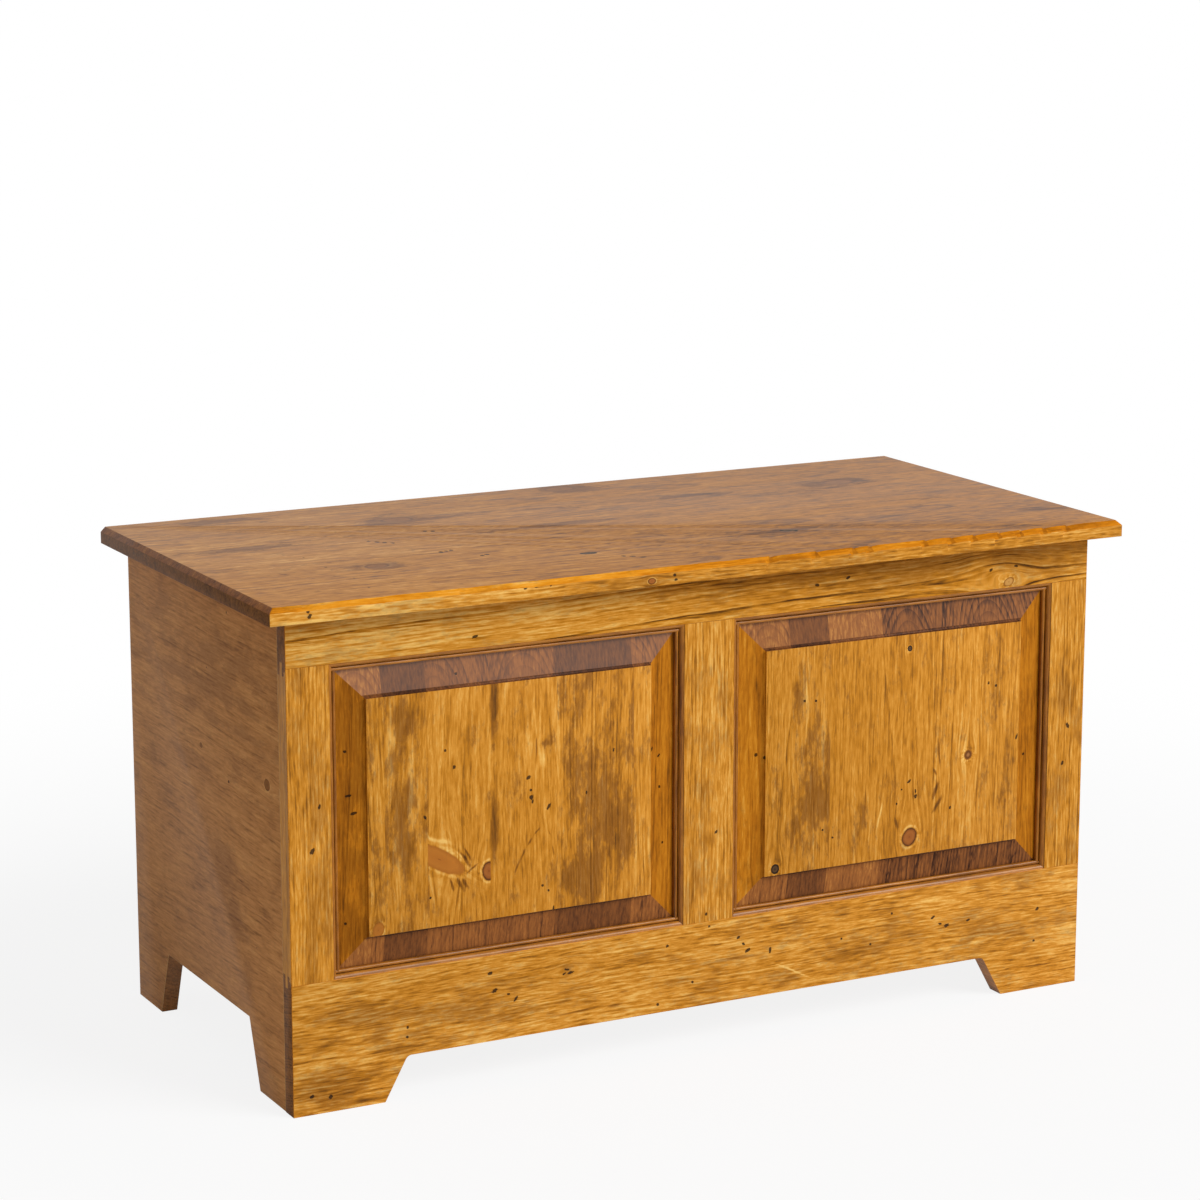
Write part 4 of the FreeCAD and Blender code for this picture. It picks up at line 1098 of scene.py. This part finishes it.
pine(
    "end_grain", "XZY", PLAIN, 38.0, (0.46, -0.15, 0.02), spacing=0.002, level=0.42, lines=0.3,
    blotches=0.3
)
pine("veneer", "XYZ", PLAIN, 39.0, (0.05, 0.45, 0.22), spacing=0.009, level=0.7, lines=0.2, blotches=0.1)
pine("worn", "XZY", ORANGE, 36.0, (0.46, -0.2, 0.02), level=0.62)

METAL = {"brass": brass("brass"), "screw_steel": steel("screw_steel")}


def copied(node):
    """An editable copy of a CAD node's mesh, with its flat faces joined up."""
    mesh = bmesh.new()
    mesh.from_mesh(frame["nodes"][node].data)
    bmesh.ops.remove_doubles(mesh, verts=mesh.verts, dist=WELD)
    bmesh.ops.dissolve_limit(mesh, angle_limit=FLAT_ANGLE, verts=mesh.verts, edges=mesh.edges)
    mesh.normal_update()
    return mesh


def is_sharp(edge):
    return len(edge.link_faces) == 2 and edge.calc_face_angle() > SHARP_ANGLE


def ease(mesh, width, chosen):
    """Rounds the sharp edges whose two ends are both chosen."""
    edges = [e for e in mesh.edges if is_sharp(e) and all(chosen(v.co) for v in e.verts)]
    if not edges:
        return []
    made = bmesh.ops.bevel(
        mesh, geom=edges, offset=width, segments=EASE_SEGMENTS, profile=EASE_PROFILE, affect="EDGES",
        clamp_overlap=True
    )
    mesh.normal_update()
    return made["faces"]


def placed(name, data):
    """A new object of the scene."""
    thing = bpy.data.objects.new(name, data)
    bpy.context.scene.collection.objects.link(thing)
    return thing


def close(first, second):
    return abs(first - second) < NEAR


def place_piece(node, mesh, finish_of, worn=()):
    """Makes a piece that stands for a CAD node. A face's finish comes from its middle and its normal."""
    cad = frame["nodes"][node]
    worn_faces = {face.index for face in worn if face.is_valid}
    names = []
    mesh.faces.index_update()
    for face in mesh.faces:
        name = "worn" if face.index in worn_faces else finish_of(face.calc_center_median(), face.normal)
        if name not in names:
            names.append(name)
        face.material_index = names.index(name)
        face.smooth = True
    data = bpy.data.meshes.new(node + "_wood")
    mesh.to_mesh(data)
    mesh.free()
    data.set_sharp_from_angle(angle=SMOOTH_ANGLE)
    for name in names:
        data.materials.append(WOOD[name])
    piece = placed(node + "_wood", data)
    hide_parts(node)
    slot_of(node)
    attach(piece, cad["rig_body"])


def slot_of(node):
    """The record's material slot of a node."""
    for row in frame["record"]["subparts"]:
        if row["node"] == node:
            return row["material_slot"]
    raise ValueError("no material slot for " + node)


def on_box(point, low, high):
    """Whether a corner lies on two or more sides of a piece's box."""
    sides = sum(close(point[axis], low[axis]) or close(point[axis], high[axis]) for axis in range(3))
    return sides > 1


def front_arris(point):
    return close(point.y, FRONT) and close(abs(point.x), BODY_END)


def in_quirk(middle, normal):
    """The flat floor between the moulding's ovolo and its bead, painted dark: painted shade in the recess,
    and stain that pools there.
    """
    return normal.y < -FLAT_ON and close(middle.y, QUIRK)


def rail_finish(face_name):
    def finish(middle, normal):
        if normal.y < -FACING and close(middle.y, FRONT):
            return face_name
        if abs(normal.x) > FACING:
            return "rail_end"
        if normal.y > FACING:
            return "inside_x"
        if middle.z < OPENING_LOW - MOULDING_WIDTH:
            return "side_edge"
        return "quirk" if in_quirk(middle, normal) else "moulding_x"

    return finish


def stile_finish(middle, normal):
    if normal.y < -FACING and close(middle.y, FRONT):
        return "stile"
    if abs(normal.x) > FACING and close(abs(middle.x), BODY_END):
        return "stile_edge"
    if normal.y > FACING:
        return "inside_z"
    return "quirk" if in_quirk(middle, normal) else "moulding_z"


def panel_finish(middle, normal):
    if normal.y > MOSTLY:
        return "inside_z"
    if normal.y < -FLAT_ON and close(middle.y, FRONT):
        return "field"
    if abs(normal.z) > STEEP:
        return "step"
    if abs(normal.x) > abs(normal.z):
        return "long_bevel"
    if normal.z < 0:
        return "low_bevel"
    return "right_top_bevel" if middle.x > 0 else "top_bevel"


def lid_finish(middle, normal):
    if normal.z > FACING_UP:
        return "lid_top"
    if normal.z < -MOSTLY:
        return "lid_under"
    if abs(normal.x) > STEEP and abs(middle.x) > BODY_END:
        return "lid_end_chamfer" if normal.z > STEEP else "lid_end"
    if normal.y > STEEP:
        return "lid_back"
    return "lid_chamfer" if normal.z > STEEP else "lid_edge"


def side_finish(middle, normal):
    if abs(normal.x) < FACING:
        return "side_edge"
    if not close(abs(middle.x), BODY_END):
        return "inside_y"
    return "right_side" if middle.x > 0 else "side"


def either_finish(axis, least, facing, other):
    """One finish for the faces that look along an axis, and another for the rest."""

    def finish(middle, normal):
        return facing if abs(normal[axis]) > least else other

    return finish


LONG_BOARD = either_finish(0, FACING, "end_grain", "plain_x")
DEEP_BOARD = either_finish(1, FACING, "end_grain", "plain_y")
FRAME_BOARDS = {
    "front_top_rail": rail_finish("top_rail"),
    "front_bottom_rail": rail_finish("bottom_rail"),
    "front_left_stile": stile_finish,
    "front_centre_stile": stile_finish,
    "front_right_stile": stile_finish,
}
PLAIN_BOARDS = {
    "back_panel": either_finish(1, MOSTLY, "inside_x", "end_grain"),
    "bottom_panel": either_finish(2, MOSTLY, "veneer", "end_grain"),
    "front_cleat": LONG_BOARD,
    "back_cleat": LONG_BOARD,
    "left_cleat": DEEP_BOARD,
    "right_cleat": DEEP_BOARD,
    "left_batten": DEEP_BOARD,
    "right_batten": DEEP_BOARD,
}


def wear_at(x):
    """How deep the lid's front chamfer is worn at a place along it."""
    depth = WEAR_DEPTH * max(0.0, noise.noise(Vector((x * WEAR_SCALE, 0.0, 0.0))))
    for place in RASP_PLACES:
        past = (x - place) / RASP_RUN
        if 0.0 <= past < 1.0:
            depth = max(depth, RASP_DEPTH * (1.0 - past) ** 2)
    return depth


def rasp_front(mesh):
    """Divides the lid's front strip along its length and wears its chamfer unevenly."""
    strip = LID_LOW.y + CHAMFER_STRIP
    long_edges = []
    for edge in mesh.edges:
        first, second = (vert.co for vert in edge.verts)
        if max(first.y, second.y) < strip and abs(first.x - second.x) > BODY_END:
            long_edges.append(edge)
    bmesh.ops.subdivide_edges(mesh, edges=long_edges, cuts=CHAMFER_CUTS, use_grid_fill=True)
    middle = (LID_LOW.z + LID_HIGH.z) / 2
    for vert in mesh.verts:
        x, y, z = vert.co
        if y < strip and z > middle and abs(x) < BODY_END:
            depth = wear_at(x - (z - LID_HIGH.z) * RASP_SLANT)
            vert.co += Vector((0.0, depth, -depth))
    mesh.normal_update()


def build_boards():
    for node, finish in FRAME_BOARDS.items():
        mesh = copied(node)
        worn = ease(mesh, FRAME_EASE, front_arris)
        place_piece(node, mesh, finish, worn)
    for node in ("front_left_panel", "front_right_panel"):
        mesh = copied(node)
        ease(mesh, FIELD_EASE, lambda point: close(point.y, FRONT))
        place_piece(node, mesh, panel_finish)
    for node in ("left_side", "right_side"):
        mesh = copied(node)
        ease(mesh, BOARD_EASE, lambda point: close(abs(point.x), BODY_END))
        place_piece(node, mesh, side_finish)
    mesh = copied("lid_board")
    ease(mesh, LID_EASE, lambda point: point.z > LID_LOW.z + NEAR or close(abs(point.x), LID_HIGH.x))
    rasp_front(mesh)
    place_piece("lid_board", mesh, lid_finish)
    for node, finish in PLAIN_BOARDS.items():
        mesh = copied(node)
        low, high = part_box(node)
        ease(mesh, PLAIN_EASE, lambda point: on_box(point, low, high))
        place_piece(node, mesh, finish)


def dress_hardware():
    """Gives the CAD nodes that keep their shape the finish of their metal."""
    for node, cad in frame["nodes"].items():
        slot = slot_of(node)
        if slot in METAL:
            cad.data.materials.clear()
            cad.data.materials.append(METAL[slot])


def make_camera():
    data = bpy.data.cameras.new("camera")
    data.sensor_width = SENSOR_WIDTH
    data.lens = FOCAL_PIXELS / PHOTO_SIZE * SENSOR_WIDTH
    camera = placed("camera", data)
    camera.location = CAMERA_PLACE
    camera.rotation_euler = (math.pi / 2 - CAMERA_PITCH, 0.0, -CAMERA_YAW)
    bpy.context.scene.camera = camera


def seen_directly(graph):
    """One for what the camera sees itself, in a reflection or through glass, and zero for other light."""
    path = graph.node("ShaderNodeLightPath", {})
    seen = graph.wire(path, "Is Camera Ray")
    for name in ("Is Glossy Ray", "Is Transmission Ray"):
        seen = graph.math("MAXIMUM", seen, graph.wire(path, name))
    return seen


def make_world():
    """A dim sky that shows white where it is seen."""
    world = bpy.data.worlds.new("studio")
    bpy.context.scene.world = world
    graph = Graph(world)
    levels = {"Value": seen_directly(graph), "To Min": SKY_LEVEL, "To Max": BACKDROP_WHITE}
    level = graph.wire(graph.node("ShaderNodeMapRange", levels))
    background = graph.node("ShaderNodeBackground", {"Color": BACKDROP_COLOUR, "Strength": level})
    graph.node("ShaderNodeOutputWorld", {0: graph.wire(background)})


def make_floor():
    """A pale floor that shows white away from the chest and keeps its shadow."""
    graph = Graph(bpy.data.materials.new("floor"))
    x, y = graph.place()[:2]
    away = graph.math("SQRT", x * x + y * y)
    glow_share = graph.smooth(away, *SHADOW_REACH, FLOOR_GLOW, 1.0) * seen_directly(graph)
    matt = graph.node("ShaderNodeBsdfDiffuse", {"Color": FLOOR_COLOUR})
    glow = graph.node("ShaderNodeEmission", {"Strength": BACKDROP_WHITE})
    mixed = graph.node("ShaderNodeMixShader", {0: glow_share, 1: graph.wire(matt), 2: graph.wire(glow)})
    graph.node("ShaderNodeOutputMaterial", {0: graph.wire(mixed)})
    sheet = bmesh.new()
    bmesh.ops.create_grid(sheet, x_segments=1, y_segments=1, size=FLOOR_SIZE / 2)
    data = bpy.data.meshes.new("floor")
    sheet.to_mesh(data)
    sheet.free()
    data.materials.append(graph.owner)
    floor = placed("floor", data)


def make_key_light():
    data = bpy.data.lights.new("key", "AREA")
    data.shape = "RECTANGLE"
    data.size, data.size_y = KEY_SIZE
    data.energy = KEY_POWER
    light = placed("key", data)
    aim = (cad_low + cad_high) / 2
    way = Vector((
        math.sin(KEY_AZIMUTH) * math.cos(KEY_ELEVATION),
        -math.cos(KEY_AZIMUTH) * math.cos(KEY_ELEVATION),
        math.sin(KEY_ELEVATION),
    ))
    light.location = aim + way * KEY_DISTANCE
    light.rotation_euler = way.to_track_quat("Z", "Y").to_euler()


build_boards()
dress_hardware()
make_world()
make_floor()
make_key_light()
make_camera()
bpy.context.scene.view_settings.view_transform = "Standard"
